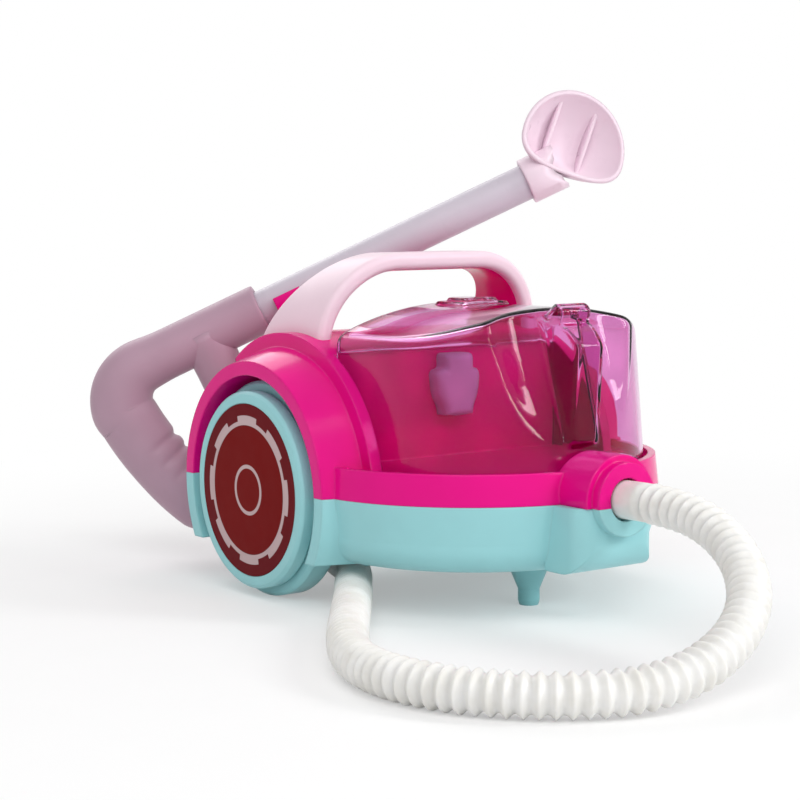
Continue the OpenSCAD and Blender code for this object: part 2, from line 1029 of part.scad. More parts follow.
module right_wheel_label() {
    color("FireBrick")
        label_form();
}

// Power, fasteners and the works inside

module battery_door() {
    color("PaleTurquoise")
        difference() {
            door_plate(fit, ground_gap);
            translate([0, door_screw_y, 0])
                cylinder(r = screw_hole_r, h = far);
        }
}

module battery_door_screw() {
    color("Silver")
        translate([0, door_screw_y, 0]) {
            translate([0, 0, ground_gap - screw_head_t])
                cylinder(r = screw_head_r, h = screw_head_t);
            translate([0, 0, ground_gap])
                cylinder(r = screw_r, h = door_screw_len);
        }
}

module battery_cells() {
    color("Goldenrod")
        for (side = [-1, 1])
            translate([0, box_y + side * (cell_r + cell_gap / 4), door_seat_z + cell_r + fit])
                bar_x(cell_r, -cell_len / 2, cell_len / 2);
}

module battery_contacts() {
    contact_t = wall / 4;
    color("Silver")
        both_sides()
            translate([box_half_x, box_y, door_seat_z + cell_r + fit])
                for (side = [-1, 1])
                    translate([0, side * (cell_r + cell_gap / 4), 0]) {
                        box([-contact_t, -cell_r / 2, -cell_r / 2], [0, cell_r / 2, cell_r / 2]);
                        bar_x(cell_r / 3, -wall + fit, -contact_t);
                    }
}

module case_screws() {
    color("Silver")
        case_screw_places() {
            translate([0, 0, case_screw_seat - screw_head_t])
                cylinder(r = screw_head_r, h = screw_head_t);
            translate([0, 0, case_screw_seat])
                cylinder(r = screw_r, h = case_screw_len);
        }
}

module motor() {
    color("Silver")
        translate([0, motor_plate_y + motor_plate_t, motor_z]) {
            bar_y(motor_r, 0, motor_len);
            bar_y(motor_nose_r, -motor_nose_len, 0);
            bar_y(shaft_r, -shaft_len, 0);
        }
}

module fan() {
    color("White")
        translate([0, fan_y, motor_z])
            difference() {
                union() {
                    bar_y(fan_r, -fan_plate_t, 0);
                    bar_y(fan_hub_r, -fan_t, -fan_plate_t / 2);
                    for (i = [0 : fan_blades - 1])
                        rotate([0, (i + 0.5) * 360 / fan_blades, 0])
                            box([fan_hub_r - fan_blade_t, -fan_t + fan_blade_t, -fan_blade_t / 2],
                                [fan_r - fan_blade_t, -fan_plate_t / 2, fan_blade_t / 2]);
                }
                bar_y(shaft_r + shaft_fit, -fan_t - over, over);
            }
}

module switch_body() {
    color("DimGray")
        translate([switch_x, rear_wall_y - wall, switch_z])
            difference() {
                box([-switch_half_w, -switch_depth, -switch_half_h], [switch_half_w, 0, switch_half_h]);
                box([-knob_half_w - switch_travel / 2 - gap, -knob_out, -knob_half_h - gap],
                    [knob_half_w + switch_travel / 2 + gap, over, knob_half_h + gap]);
            }
}

module switch_knob() {
    color("DimGray")
        translate([switch_x - switch_travel / 2, rear_wall_y, switch_z])
            box([-knob_half_w, gap / 2 - wall - knob_out, -knob_half_h],
                [knob_half_w, knob_out, knob_half_h]);
}

// Wand, worked out along its own tube: X runs up the tube, and the grip hangs along -Z

module at_wand() {
    translate(wand_base)
        rotate([0, -wand_rise, wand_yaw])
            children();
}

// Parking clip: a plate on the rear wall, an arm and a cradle open at the top
module wand_clip() {
    cradle_r = clip_r + clip_t;
    run = cos(wand_rise) * clip_at;
    foot_x = wand_base.x + run * cos(wand_yaw);
    arm_y = wand_base.y + run * sin(wand_yaw);
    arm_z = wand_base.z + sin(wand_rise) * clip_at;
    color("DeepPink")
        difference() {
            union() {
                at_wand()
                    intersection() {
                        bar_x(cradle_r, clip_at - clip_len / 2, clip_at + clip_len / 2);
                        box([-far, -far, -far], [far, far, clip_lip]);
                    }
                translate([foot_x - clip_arm_w / 2, 0, 0])
                    rotate([90, 0, 90])
                        linear_extrude(height = clip_arm_w)
                            polygon([[rear_wall_y + over, clip_plate_low_z + over],
                                [rear_wall_y + over, clip_plate_high_z - over],
                                [arm_y - cradle_r + over, arm_z], [arm_y, arm_z - clip_r],
                                [arm_y + clip_r / 2, arm_z - cradle_r + over / 2]]);
                translate([foot_x, rear_wall_y, 0])
                    box([-clip_plate_half_w, 0, clip_plate_low_z],
                        [clip_plate_half_w, clip_plate_t, clip_plate_high_z]);
            }
            at_wand()
                bar_x(clip_r, -far, far);
        }
}

// Whole form of the grip: tube socket, bend, curved grip with a round end, and the hose branch
module grip_form() {
    bar_x(neck_r, -grip_back, neck_end);
    translate([-grip_back, 0, 0])
        rotate([90, 0, 0])
            sphere(bend_r);
    translate([-grip_back, 0, 0])
        rotate([0, grip_lean, 0])
            difference() {
                translate([grip_curve_r, 0, 0]) {
                    // Grip bent about a far centre on the finger side
                    difference() {
                        rotate([90, 0, 0])
                            rotate_extrude()
                                translate([grip_curve_r, 0])
                                    circle(grip_r);
                        box([-far, -far, 0], [far, far, far]);
                        box([-grip_curve_r / 2, -far, -far], [far, far, over]);
                        rotate([0, -grip_turn, 0])
                            box([-far, -far, -far], [far, far, 0]);
                    }
                    rotate([0, -grip_turn, 0])
                        translate([-grip_curve_r, 0, 0])
                            sphere(bend_r);
                }
                // Finger grooves on the inner side
                for (i = [1 : grip_fingers])
                    translate([grip_r + grip_finger_r - grip_finger_in + i * grip_finger_in / 2, 0,
                        -grip_drop / 4 - i * grip_finger_pitch])
                        rotate([90, 0, 0])
                            cylinder(r = grip_finger_r, h = 2 * grip_r, center = true);
            }
    translate([stub_x, 0, -stub_len])
        cylinder(r = stub_r, h = stub_len);
}

// Bores of the grip: the tube's seat, the air way and the hose's socket
module grip_bores() {
    bar_x(tube_r + fit, tube_start, far);
    bar_x(stub_bore_r, stub_x, tube_start + over);
    translate([stub_x, 0, -stub_len - over]) {
        cylinder(r = stub_bore_r, h = stub_len + over);
        cylinder(r = socket_r, h = stub_socket + over);
    }
}

module grip_screw_places() {
    for (i = [0, 1])
        translate([grip_screw_in[i] - grip_back, 0, -grip_screw_drop[i]])
            rotate([90, 0, 0])
                children();
}

module grip_half(side) {
    at_wand()
        difference() {
            intersection() {
                grip_form();
                box([-far, min(0, side * far), -far], [far, max(0, side * far), far]);
            }
            grip_bores();
            grip_screw_places() {
                cylinder(r = grip_screw_r + fit, h = 2 * grip_screw_len, center = true);
                translate([0, 0, grip_screw_len / 2])
                    cylinder(r = grip_screw_head_r + fit, h = far);
            }
        }
}

module grip_left_half() {
    color("RosyBrown")
        grip_half(-1);
}

module grip_right_half() {
    color("RosyBrown")
        grip_half(1);
}

module grip_screws() {
    color("Silver")
        at_wand()
            grip_screw_places() {
                translate([0, 0, -grip_screw_len / 2])
                    cylinder(r = grip_screw_r, h = grip_screw_len);
                translate([0, 0, grip_screw_len / 2])
                    cylinder(r = grip_screw_head_r, h = grip_screw_head_t);
            }
}

module wand_tube() {
    color("Thistle")
        at_wand()
            difference() {
                bar_x(tube_r, tube_start, tube_len);
                bar_x(tube_r - tube_wall, tube_start - over, tube_len + over);
            }
}

// Nozzle: a half-round scoop on a collar, with two ribs in its bowl
module nozzle_head(inset, mouth) {
    intersection() {
        rotate([-90, 0, 0])
            rotate_extrude()
                intersection() {
                    translate([0, nozzle_depth - nozzle_ball_r])
                        circle(nozzle_ball_r - inset);
                    translate([0, mouth])
                        square(far);
                }
        box([-far, -far, inset - nozzle_cut], [far, far, far]);
    }
}

module nozzle_ribs() {
    intersection() {
        nozzle_head(nozzle_wall / 2, 0);
        for (x = nozzle_rib_x)
            translate([x - nozzle_rib_t / 2, 0, 0])
                rotate([90, 0, 90])
                    linear_extrude(height = nozzle_rib_t)
                        polygon([[nozzle_depth, -nozzle_cut],
                            [nozzle_rib_low_share * nozzle_depth, -nozzle_cut],
                            [nozzle_rib_high_share * nozzle_depth, nozzle_r], [nozzle_depth, nozzle_r]]);
    }
}

module at_head() {
    translate(nozzle_shift)
        rotate(nozzle_turn)
            children();
}

module nozzle() {
    color("LavenderBlush")
        at_wand()
            translate([tube_len, 0, 0]) {
                difference() {
                    union() {
                        difference() {
                            union() {
                                bar_x(collar_r, -collar_len, nozzle_neck);
                                at_head()
                                    nozzle_head(0, 0);
                            }
                            at_head()
                                nozzle_head(nozzle_wall, -over);
                        }
                        at_head()
                            nozzle_ribs();
                    }
                    // The collar's end is trimmed level with the mouth
                    at_head()
                        box([-far, -far, -far], [far, 0, far]);
                    bar_x(tube_r + run_fit, -far, 0);
                    bar_x(tube_r - tube_wall, -over, nozzle_neck + over);
                }
            }
}

// Hose

// A point on the smooth curve through the route, where t counts the route's points
function route_point(t) =
    let (last = len(hose_route) - 1,
        i = min(floor(t), last - 1),
        f = t - i,
        a = hose_route[max(i - 1, 0)],
        b = hose_route[i],
        c = hose_route[i + 1],
        d = hose_route[min(i + 2, last)])
    (2 * b + (c - a) * f + (2 * a - 5 * b + 4 * c - d) * f * f + (3 * b - a - 3 * c + d) * f * f * f) / 2;

function unit(v) = v / norm(v);

// Direction of the route at t
function route_way(t) =
    let (last = len(hose_route) - 1, step = 1 / (2 * hose_steps))
    unit(route_point(min(t + step, last)) - route_point(max(t - step, 0)));

// Length along the route against t, in equal steps of t
route_steps = (len(hose_route) - 1) * hose_steps;
function step_length(i) =
    norm(route_point(min(i + 1, route_steps) / hose_steps) - route_point(i / hose_steps));
route_lengths = [
    for (i = 0, s = 0; i <= route_steps; s = s + step_length(i), i = i + 1)
        [s, i / hose_steps]
];
hose_len = route_lengths[route_steps][0];

// A ring of points square to the route at a length along it
function hose_ring(s, r) =
    let (t = lookup(s, route_lengths),
        way = route_way(t),
        across = unit(cross(way, [0, 0, 1])),
        up = cross(across, way))
    [for (k = [0 : hose_sides - 1])
        let (a = (k + 1 / 2) * 360 / hose_sides)
        route_point(t) + r * (cos(a) * across + sin(a) * up)];

// Places and radii of the rings: a plain cuff at each end, and a crest and a groove for each rib
rib_pitch = (hose_len - 2 * hose_cuff_len) / rib_count;
hose_profile = concat(
    [[0, hose_cuff_r], [hose_cuff_len, hose_cuff_r]],
    [for (i = [0 : rib_count - 1], half = [0, 1])
        [hose_cuff_len + (i + (1 + 2 * half) / 4) * rib_pitch, half == 0 ? hose_r : hose_r - groove_depth]],
    [[hose_len - hose_cuff_len, hose_cuff_r], [hose_len, hose_cuff_r]]
);

// Two triangles for each side between one ring and the next
function strip(first, rings, inward) =
    [for (i = [0 : rings - 2], k = [0 : hose_sides - 1], half = [0, 1])
        let (a = first + i * hose_sides + k,
            b = first + i * hose_sides + (k + 1) % hose_sides,
            face = half == 0 ? [a, b, b + hose_sides] : [a, b + hose_sides, a + hose_sides])
        inward ? [face[2], face[1], face[0]] : face];

// A flat ring of triangles that joins an outer ring of points to an inner one
function end_ring(outer, inner, turned) =
    [for (k = [0 : hose_sides - 1], half = [0, 1])
        let (n = (k + 1) % hose_sides,
            face = half == 0 ? [outer + k, inner + k, inner + n] : [outer + k, inner + n, outer + n])
        turned ? [face[2], face[1], face[0]] : face];

// Least gap between stretches of the hose that are well apart along it
far_apart = 8 * hose_r;
hose_gaps = [
    for (i = [0 : route_steps], j = [i : route_steps])
        if (route_lengths[j][0] - route_lengths[i][0] > far_apart)
            norm(route_point(j / hose_steps) - route_point(i / hose_steps)) - 2 * hose_r
];

module hose() {
    outer_rings = len(hose_profile);
    first_inner = outer_rings * hose_sides;
    last_outer = first_inner - hose_sides;
    last_inner = first_inner + (bore_rings - 1) * hose_sides;
    points = concat(
        [for (ring = hose_profile) each hose_ring(ring[0], ring[1])],
        [for (i = [0 : bore_rings - 1]) each hose_ring(hose_len * i / (bore_rings - 1), hose_bore_r)]
    );
    faces = concat(
        strip(0, outer_rings, false),
        strip(first_inner, bore_rings, true),
        end_ring(0, first_inner, false),
        end_ring(last_outer, last_inner, true)
    );
    echo(hose_length = hose_len, least_gap = min(hose_gaps), rib_pitch = rib_pitch);
    color("WhiteSmoke", 0.7)
        polyhedron(points = points, faces = faces);
}

lower_shell();
upper_shell();
carry_handle();
handle_liner();
dust_cover();
lamp_lens();
lamp_led();
hose_spigot();
front_foot();
wheel_axle();
wheel_screws();
left_wheel();
left_wheel_label();
right_wheel();
right_wheel_label();
battery_door();
battery_door_screw();
battery_cells();
battery_contacts();
case_screws();
motor();
fan();
switch_body();
switch_knob();
wand_clip();
grip_left_half();
grip_right_half();
grip_screws();
wand_tube();
nozzle();
hose();
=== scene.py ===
"""Toy vacuum cleaner: camera, hose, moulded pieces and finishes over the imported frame."""
import math

import bmesh
import bpy
import numpy as np
from mathutils import Matrix, Vector


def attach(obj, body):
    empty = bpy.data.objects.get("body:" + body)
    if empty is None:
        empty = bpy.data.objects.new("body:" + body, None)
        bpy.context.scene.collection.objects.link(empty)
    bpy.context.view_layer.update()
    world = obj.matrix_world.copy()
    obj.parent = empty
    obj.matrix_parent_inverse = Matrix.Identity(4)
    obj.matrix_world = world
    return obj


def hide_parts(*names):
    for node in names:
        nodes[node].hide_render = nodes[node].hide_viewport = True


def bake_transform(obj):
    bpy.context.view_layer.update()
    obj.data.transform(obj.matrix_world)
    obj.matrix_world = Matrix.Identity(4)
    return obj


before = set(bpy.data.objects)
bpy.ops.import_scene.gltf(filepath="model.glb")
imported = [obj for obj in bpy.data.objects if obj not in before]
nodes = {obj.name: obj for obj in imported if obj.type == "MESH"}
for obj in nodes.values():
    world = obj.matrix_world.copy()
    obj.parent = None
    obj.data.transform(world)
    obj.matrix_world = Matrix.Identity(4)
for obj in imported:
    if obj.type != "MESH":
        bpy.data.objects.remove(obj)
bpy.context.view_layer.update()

# Shapes are worked out in millimetres and put into the meshes in metres.
MM = 0.001
# Points closer than this, in metres, are one point.
SAME_POINT = 2e-7
HALVINGS = 36


# ---- Shared geometry

def grid_piece(name, points, wrap_rows=False, wrap_cols=False):
    """A grid of points made into one smooth mesh: each cell is a quad, rows or columns may close
    on themselves, points that coincide, as at a pole, become one, and the faces look outwards."""
    rows, cols = points.shape[:2]
    index = np.arange(rows * cols).reshape(rows, cols)
    if wrap_rows:
        index = np.concatenate([index, index[:1]])
    if wrap_cols:
        index = np.concatenate([index, index[:, :1]], axis=1)
    quads = np.stack([index[:-1, :-1], index[1:, :-1], index[1:, 1:], index[:-1, 1:]], -1)
    mesh = bpy.data.meshes.new(name)
    mesh.from_pydata((points.reshape(-1, 3) * MM).tolist(), [], quads.reshape(-1, 4).tolist())
    form = bmesh.new()
    form.from_mesh(mesh)
    bmesh.ops.remove_doubles(form, verts=form.verts, dist=SAME_POINT)
    bmesh.ops.recalc_face_normals(form, faces=form.faces)
    form.to_mesh(mesh)
    form.free()
    mesh.polygons.foreach_set("use_smooth", np.ones(len(mesh.polygons), bool))
    piece = bpy.data.objects.new(name, mesh)
    bpy.context.scene.collection.objects.link(piece)
    return piece


def soft_max(a, b, radius):
    """The larger of two distances, with the edge between them rounded over the radius."""
    return np.maximum(a, b) + np.maximum(radius - np.abs(a - b), 0) ** 2 / (4 * radius)


def soft_min(a, b, radius):
    """The smaller of two distances, with the corner between them filled over the radius."""
    return -soft_max(-a, -b, radius)


def ray_points(depth, origin, ways, reach):
    """Where rays from an inner point leave a solid. The solid is a depth function, negative
    inside, and each ray's length is found by halving the interval that holds it."""
    near = np.zeros(ways.shape[:2])
    far = np.full(ways.shape[:2], reach)
    for _ in range(HALVINGS):
        middle = (near + far) / 2
        inside = depth(origin + middle[..., None] * ways) < 0
        near, far = np.where(inside, middle, near), np.where(inside, far, middle)
    return origin + near[..., None] * ways


def unit(vectors):
    """Each vector divided by its own length."""
    return vectors / np.linalg.norm(vectors, axis=-1, keepdims=True)


def thicken(piece, wall):
    """A wall of even thickness on the inner side of an open surface."""
    solid = piece.modifiers.new("wall", "SOLIDIFY")
    solid.thickness = wall * MM
    solid.offset = -1
    return piece


# ---- Camera

VIEW_AZIMUTH = math.radians(-35.85)
VIEW_ELEVATION = math.radians(5.6)
VIEW_ROLL = math.radians(-0.5)
VIEW_DISTANCE = 0.620
VIEW_TARGET = Vector((-0.0203, 0.0396, 0.0623))
FOCAL_LENGTH, SENSOR_WIDTH = 87.35, 36.0


def set_camera():
    """A camera on the line from the target at the view's azimuth and elevation, rolled about it."""
    back = Vector((math.sin(VIEW_AZIMUTH) * math.cos(VIEW_ELEVATION),
                   -math.cos(VIEW_AZIMUTH) * math.cos(VIEW_ELEVATION), math.sin(VIEW_ELEVATION)))
    level = Vector((math.cos(VIEW_AZIMUTH), math.sin(VIEW_AZIMUTH), 0))
    rise = back.cross(level)
    right = level * math.cos(VIEW_ROLL) + rise * math.sin(VIEW_ROLL)
    up = rise * math.cos(VIEW_ROLL) - level * math.sin(VIEW_ROLL)
    data = bpy.data.cameras.new("view")
    data.lens, data.sensor_width = FOCAL_LENGTH, SENSOR_WIDTH
    camera = bpy.data.objects.new("view", data)
    camera.matrix_world = (Matrix.Translation(VIEW_TARGET + back * VIEW_DISTANCE)
                           @ Matrix((right, up, back)).transposed().to_4x4())
    bpy.context.scene.collection.objects.link(camera)
    bpy.context.scene.camera = camera


set_camera()


# ---- Hose

HOSE_ROUTE = np.array([
    [0, -42.5, 38], [0, -58.5, 38], [0, -74.5, 36], [-3, -89.5, 31], [-10, -102.5, 25],
    [-20.5, -113, 19], [-34, -120, 13.5], [-49, -122.5, 9], [-64.5, -120.5, 6.6], [-79, -114, 6.1],
    [-91, -103.5, 6.1], [-99.5, -90, 6.1], [-103.5, -74.5, 6.1], [-102.5, -59, 6.1],
    [-97.5, -44.5, 6.1], [-89.5, -31, 6.1], [-80.5, -18, 6.1], [-71, -5, 6.1], [-61.5, 8, 6.1],
    [-52, 21, 6.1], [-43, 34, 6.1], [-34, 47, 6.1], [-26, 61, 6.1], [-20.2, 76, 6.3],
    [-17.2, 91.5, 10], [-17.2, 105.5, 18], [-19.5, 116.2, 29.5], [-24, 123, 43],
    [-28.7, 126.6, 56], [-33.2, 129.9, 67.8]])
ROUTE_STEPS = 24
HOSE_R, HOSE_BORE_R = 6.0, 4.45
HOSE_GROOVE, HOSE_CREST = 1.3, 0.75
# The cuffs: how long and wide they are, where their rings stand, and how their lips turn in.
HOSE_CUFF, HOSE_CUFF_R = 12.0, 5.7
CUFF_RINGS = np.array([0, 0.25, 0.6, 3, 6, 9, 11.4])
CUFF_TURN_IN = np.array([0.35, 0.08, 0, 0, 0, 0, 0])
HOSE_RIBS, RINGS_PER_RIB, BORE_RINGS, HOSE_SIDES = 112, 10, 220, 36
# No stretch of the hose runs along this direction.
LEANING = [0.45, 0.0, 0.9]


def smooth_route(points, steps):
    """The smooth curve through the points: between two of them it is the cubic whose slope at
    each is half the chord of that point's neighbours. Steps are even in each stretch."""
    ends = np.concatenate([points[:1], points, points[-1:]])
    a, b, c, d = (ends[i:i + len(points) - 1, None] for i in range(4))
    f = np.arange(steps)[None, :, None] / steps
    curve = (2 * b + (c - a) * f + (2 * a - 5 * b + 4 * c - d) * f ** 2
             + (3 * b - a - 3 * c + d) * f ** 3) / 2
    return np.concatenate([curve.reshape(-1, 3), points[-1:]])


def along(curve, places):
    """Points and directions of a curve at given lengths along it."""
    lengths = np.concatenate([[0], np.cumsum(np.linalg.norm(np.diff(curve, axis=0), axis=1))])
    slopes = np.gradient(curve, lengths, axis=0)
    at = np.stack([np.interp(places, lengths, curve[:, i]) for i in range(3)], -1)
    way = unit(np.stack([np.interp(places, lengths, slopes[:, i]) for i in range(3)], -1))
    return at, way, lengths[-1]


def rings(at, way, radius, sides):
    """Circles square to a line of points: each is its centre plus the radius times the cosine
    and sine of the angle on two directions across the line. The first of these is square to the
    leaning direction too."""
    across = unit(np.cross(way, LEANING))
    up = np.cross(across, way)
    angle = np.linspace(0, 2 * np.pi, sides, endpoint=False)[None, :, None]
    ring = np.cos(angle) * across[:, None] + np.sin(angle) * up[:, None]
    return at[:, None] + np.reshape(radius, (-1, 1, 1)) * ring


def make_hose():
    """A tube along the route. Its outer radius follows the length: plain cuffs at the ends, and
    between them narrow crests and round grooves, a raised cosine to a power. The bore goes back."""
    curve = smooth_route(HOSE_ROUTE, ROUTE_STEPS)
    length = along(curve, np.zeros(1))[2]
    ribbed = np.linspace(HOSE_CUFF, length - HOSE_CUFF, HOSE_RIBS * RINGS_PER_RIB + 1)
    turn = (ribbed - HOSE_CUFF) / (length - 2 * HOSE_CUFF) * HOSE_RIBS * 2 * np.pi
    crest = HOSE_R - HOSE_GROOVE * (0.5 + 0.5 * np.cos(turn)) ** HOSE_CREST
    cuff_r = HOSE_CUFF_R - CUFF_TURN_IN
    bore = np.linspace(0, length, BORE_RINGS)
    places = np.concatenate([CUFF_RINGS, ribbed, length - CUFF_RINGS[::-1], bore[::-1]])
    radius = np.concatenate([cuff_r, crest, cuff_r[::-1], np.full(len(bore), HOSE_BORE_R)])
    at, way, _ = along(curve, places)
    hose = grid_piece("ribbed_hose", rings(at, way, radius, HOSE_SIDES),
                      wrap_rows=True, wrap_cols=True)
    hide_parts("hose")
    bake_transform(hose)
    return hose


hose = make_hose()


# ---- Dust cover

COVER_Y = 27.0
COVER_FOOT_Z, COVER_TOP_Z = 43.3, 93.0
COVER_R, COVER_TOP_R = 54.0, 50.5
COVER_HALF_W, COVER_REAR_Y = 44.6, 39.6
COVER_WALL, SIDE_ROUND, ROOF_ROUND = 1.1, 8.0, 3.0
CROWN_R = 110.0
PANEL_Y, PANEL_Z, PANEL_LEAN, PANEL_ROUND = -26.4, 51.0, math.radians(16.7), 1.5
# The panel's two hollows: how deep, how far from the middle, how wide, and where they begin.
HOLLOW, HOLLOW_X, HOLLOW_WIDE, HOLLOW_Z, HOLLOW_RISE = 2.0, 17.0, 9.0, 50.0, 20.0
SPOUT_FRONT_Y, SPOUT_BACK_Y = -30.2, -11.7
SPOUT_HALF_W, SPOUT_ROOT_HALF_W = 5.0, 8.0
SPOUT_FOOT_Z, SPOUT_TOP_Z, SPOUT_CHAMFER, SPOUT_DRAW = 50.0, 88.0, 6.0, 0.095
SPOUT_TOP_SLOPE, SPOUT_FOOT_SLOPE, SPOUT_FOOT_SLANT, SPOUT_ROUND = 0.24, 0.65, 1.19, 1.6
LIP_Y, LIP_Z, LIP_R, LIP_HALF_W = -19.6, 91.4, 3.1, 6.0
LIP_ROUND, LIP_FILL = 1.0, 1.2
TAB_Y, TAB_HALF_LEN, TAB_HALF_W, TAB_STEP = 28.0, 7.5, 9.5, 2.6
TAB_RISE, TAB_CORNER, TAB_ROUND = 1.0, 2.0, 0.7
HEADER_Z, HEADER_ROWS, HEADER_COLS = 78.6, 8, 60
COVER_TURNS, COVER_RISES, COVER_REACH = 284, 168, 120.0
# How closely the rays stand: everywhere, in front, and at the spout's flanks, and at how many
# steps of the half turn this is counted.
CROWD, FRONT_CROWD, FRONT_WIDE = 0.5, 0.9, 0.8
FLANK_CROWD, FLANK_AT, FLANK_WIDE, CROWD_STEPS = 5.0, 0.113, 0.045, 4001


def crown_height(x):
    """Height of the crowned roof across the cover: the top of a wide circle."""
    return COVER_TOP_Z - CROWN_R + np.sqrt(CROWN_R ** 2 - x ** 2)


def cover_depth(p):
    """Depth in the cover's outer form: a slightly tapered round wall, flat sides and a crowned
    roof, cut by a hollow leaning panel; the spout, the rolled lip and the two steps of the tab
    are added. Edges are rounded and inner corners are filled."""
    x, y, z = p[..., 0], p[..., 1], p[..., 2]
    taper = COVER_R + (COVER_TOP_R - COVER_R) * (z - COVER_FOOT_Z) / (COVER_TOP_Z - COVER_FOOT_Z)
    wall = soft_max(np.hypot(x, y - COVER_Y) - taper, np.abs(x) - COVER_HALF_W, SIDE_ROUND)
    roof = np.hypot(x, z - COVER_TOP_Z + CROWN_R) - CROWN_R
    out = (PANEL_Y - y) * math.cos(PANEL_LEAN) + (z - PANEL_Z) * math.sin(PANEL_LEAN)
    hollow = HOLLOW * np.exp(-((np.abs(x) - HOLLOW_X) / HOLLOW_WIDE) ** 2)
    panel = out + hollow * np.clip((z - HOLLOW_Z) / HOLLOW_RISE, 0, 1)
    body = soft_max(soft_max(wall, roof, ROOF_ROUND), panel, PANEL_ROUND)
    share = (y - SPOUT_FRONT_Y) / (SPOUT_BACK_Y - SPOUT_FRONT_Y)
    flank = np.abs(x) - SPOUT_HALF_W - (SPOUT_ROOT_HALF_W - SPOUT_HALF_W) * share
    front = SPOUT_FRONT_Y + SPOUT_DRAW * (SPOUT_TOP_Z - z) - y
    chamfer = (z - SPOUT_TOP_Z + SPOUT_CHAMFER - y + SPOUT_FRONT_Y) / math.sqrt(2)
    top = z - SPOUT_TOP_Z - SPOUT_TOP_SLOPE * (y - SPOUT_FRONT_Y - SPOUT_CHAMFER)
    foot = (SPOUT_FOOT_Z + SPOUT_FOOT_SLOPE * (y - SPOUT_FRONT_Y) - z) / SPOUT_FOOT_SLANT
    ends = soft_max(soft_max(chamfer, top, SPOUT_ROUND), foot, SPOUT_ROUND)
    spout = soft_max(soft_max(flank, front, SPOUT_ROUND), ends, SPOUT_ROUND)
    spout = np.maximum(spout, y - SPOUT_BACK_Y)
    cover = soft_min(body, spout, SPOUT_ROUND)
    roll = np.stack([np.hypot(y - LIP_Y, z - LIP_Z) - LIP_R + LIP_ROUND,
                     np.abs(x) - LIP_HALF_W + LIP_ROUND])
    lip = np.minimum(roll.max(0), 0) + np.linalg.norm(np.maximum(roll, 0), axis=0) - LIP_ROUND
    cover = soft_min(cover, lip, LIP_FILL)
    for step in (0, 1):
        inset = step * TAB_STEP
        tread = soft_max(np.abs(x) - TAB_HALF_W + inset,
                         np.abs(y - TAB_Y) - TAB_HALF_LEN + inset, TAB_CORNER)
        tread = soft_max(tread, roof - TAB_RISE - step * TAB_RISE, TAB_ROUND)
        cover = soft_min(cover, tread, TAB_ROUND)
    return cover


def make_cover():
    """The cover's wall and roof are the points where rays from the middle of its rear foot leave
    the outer form, over a half turn and a quarter rise. The rays stand closer together in front,
    and closest at the spout's flanks. The header is a flat strip under the roof."""
    even = np.linspace(-np.pi / 2, np.pi / 2, CROWD_STEPS)
    crowd = (CROWD + FRONT_CROWD * np.exp(-(even / FRONT_WIDE) ** 2)
             + FLANK_CROWD * np.exp(-((np.abs(even) - FLANK_AT) / FLANK_WIDE) ** 2))
    counted = np.cumsum(crowd)
    turn = np.interp(np.linspace(counted[0], counted[-1], COVER_TURNS), counted, even)[None, :]
    rise = np.linspace(0, np.pi / 2, COVER_RISES)[:, None]
    ways = np.stack([np.cos(rise) * np.sin(turn), -np.cos(rise) * np.cos(turn),
                     np.sin(rise) + 0 * turn], -1)
    cover = grid_piece("clear_dust_cover", ray_points(
        cover_depth, np.array([0, COVER_REAR_Y, COVER_FOOT_Z]), ways, COVER_REACH))
    thicken(cover, COVER_WALL)
    x = np.linspace(-1, 1, HEADER_COLS)[None, :] * (COVER_HALF_W - COVER_WALL)
    share = np.linspace(0, 1, HEADER_ROWS)[:, None]
    strip = np.stack([x + 0 * share, COVER_REAR_Y + 0 * (x + share),
                      HEADER_Z + (crown_height(x) - COVER_WALL - HEADER_Z) * share], -1)
    header = grid_piece("dust_cover_header", strip)
    thicken(header, COVER_WALL)
    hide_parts("dust_cover")
    for piece in (cover, header):
        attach(piece, "dust_cover")
    return cover, header


cover, header = make_cover()


# ---- Lamp lens

LENS_Y, LENS_Z = 40.0, 56.6
LENS_FOOT_HALF_W, LENS_HALF_W, LENS_H = 7.0, 9.0, 15.0
LENS_NECK_HALF_W, LENS_NECK_H = 5.5, 5.0
LENS_DEPTH, LENS_WALL, LENS_DOME = 7.0, 1.2, 70.0
LENS_FOOT_ROUND, LENS_SHOULDER_ROUND, LENS_NECK_ROUND = 9.0, 3.0, 1.5
LENS_FILL, LENS_EDGE_ROUND, LENS_REACH = 1.2, 2.5, 40.0
LENS_RINGS, LENS_SIDES = 60, 144


def lens_depth(p):
    """Depth in the lens: a shield with a round foot and a slightly domed face, and a neck above."""
    x, y, z = p[..., 0], p[..., 1] - LENS_Y, p[..., 2] - LENS_Z
    half = LENS_FOOT_HALF_W + (LENS_HALF_W - LENS_FOOT_HALF_W) * np.clip(z / LENS_H, 0, 1)
    shield = soft_max(np.abs(x) - half, -z, LENS_FOOT_ROUND)
    shield = soft_max(shield, z - LENS_H, LENS_SHOULDER_ROUND)
    neck = soft_max(np.abs(x) - LENS_NECK_HALF_W, z - LENS_H - LENS_NECK_H, LENS_NECK_ROUND)
    outline = soft_min(shield, np.maximum(neck, -z), LENS_FILL)
    return soft_max(outline, -y - LENS_DEPTH + x ** 2 / LENS_DOME, LENS_EDGE_ROUND)


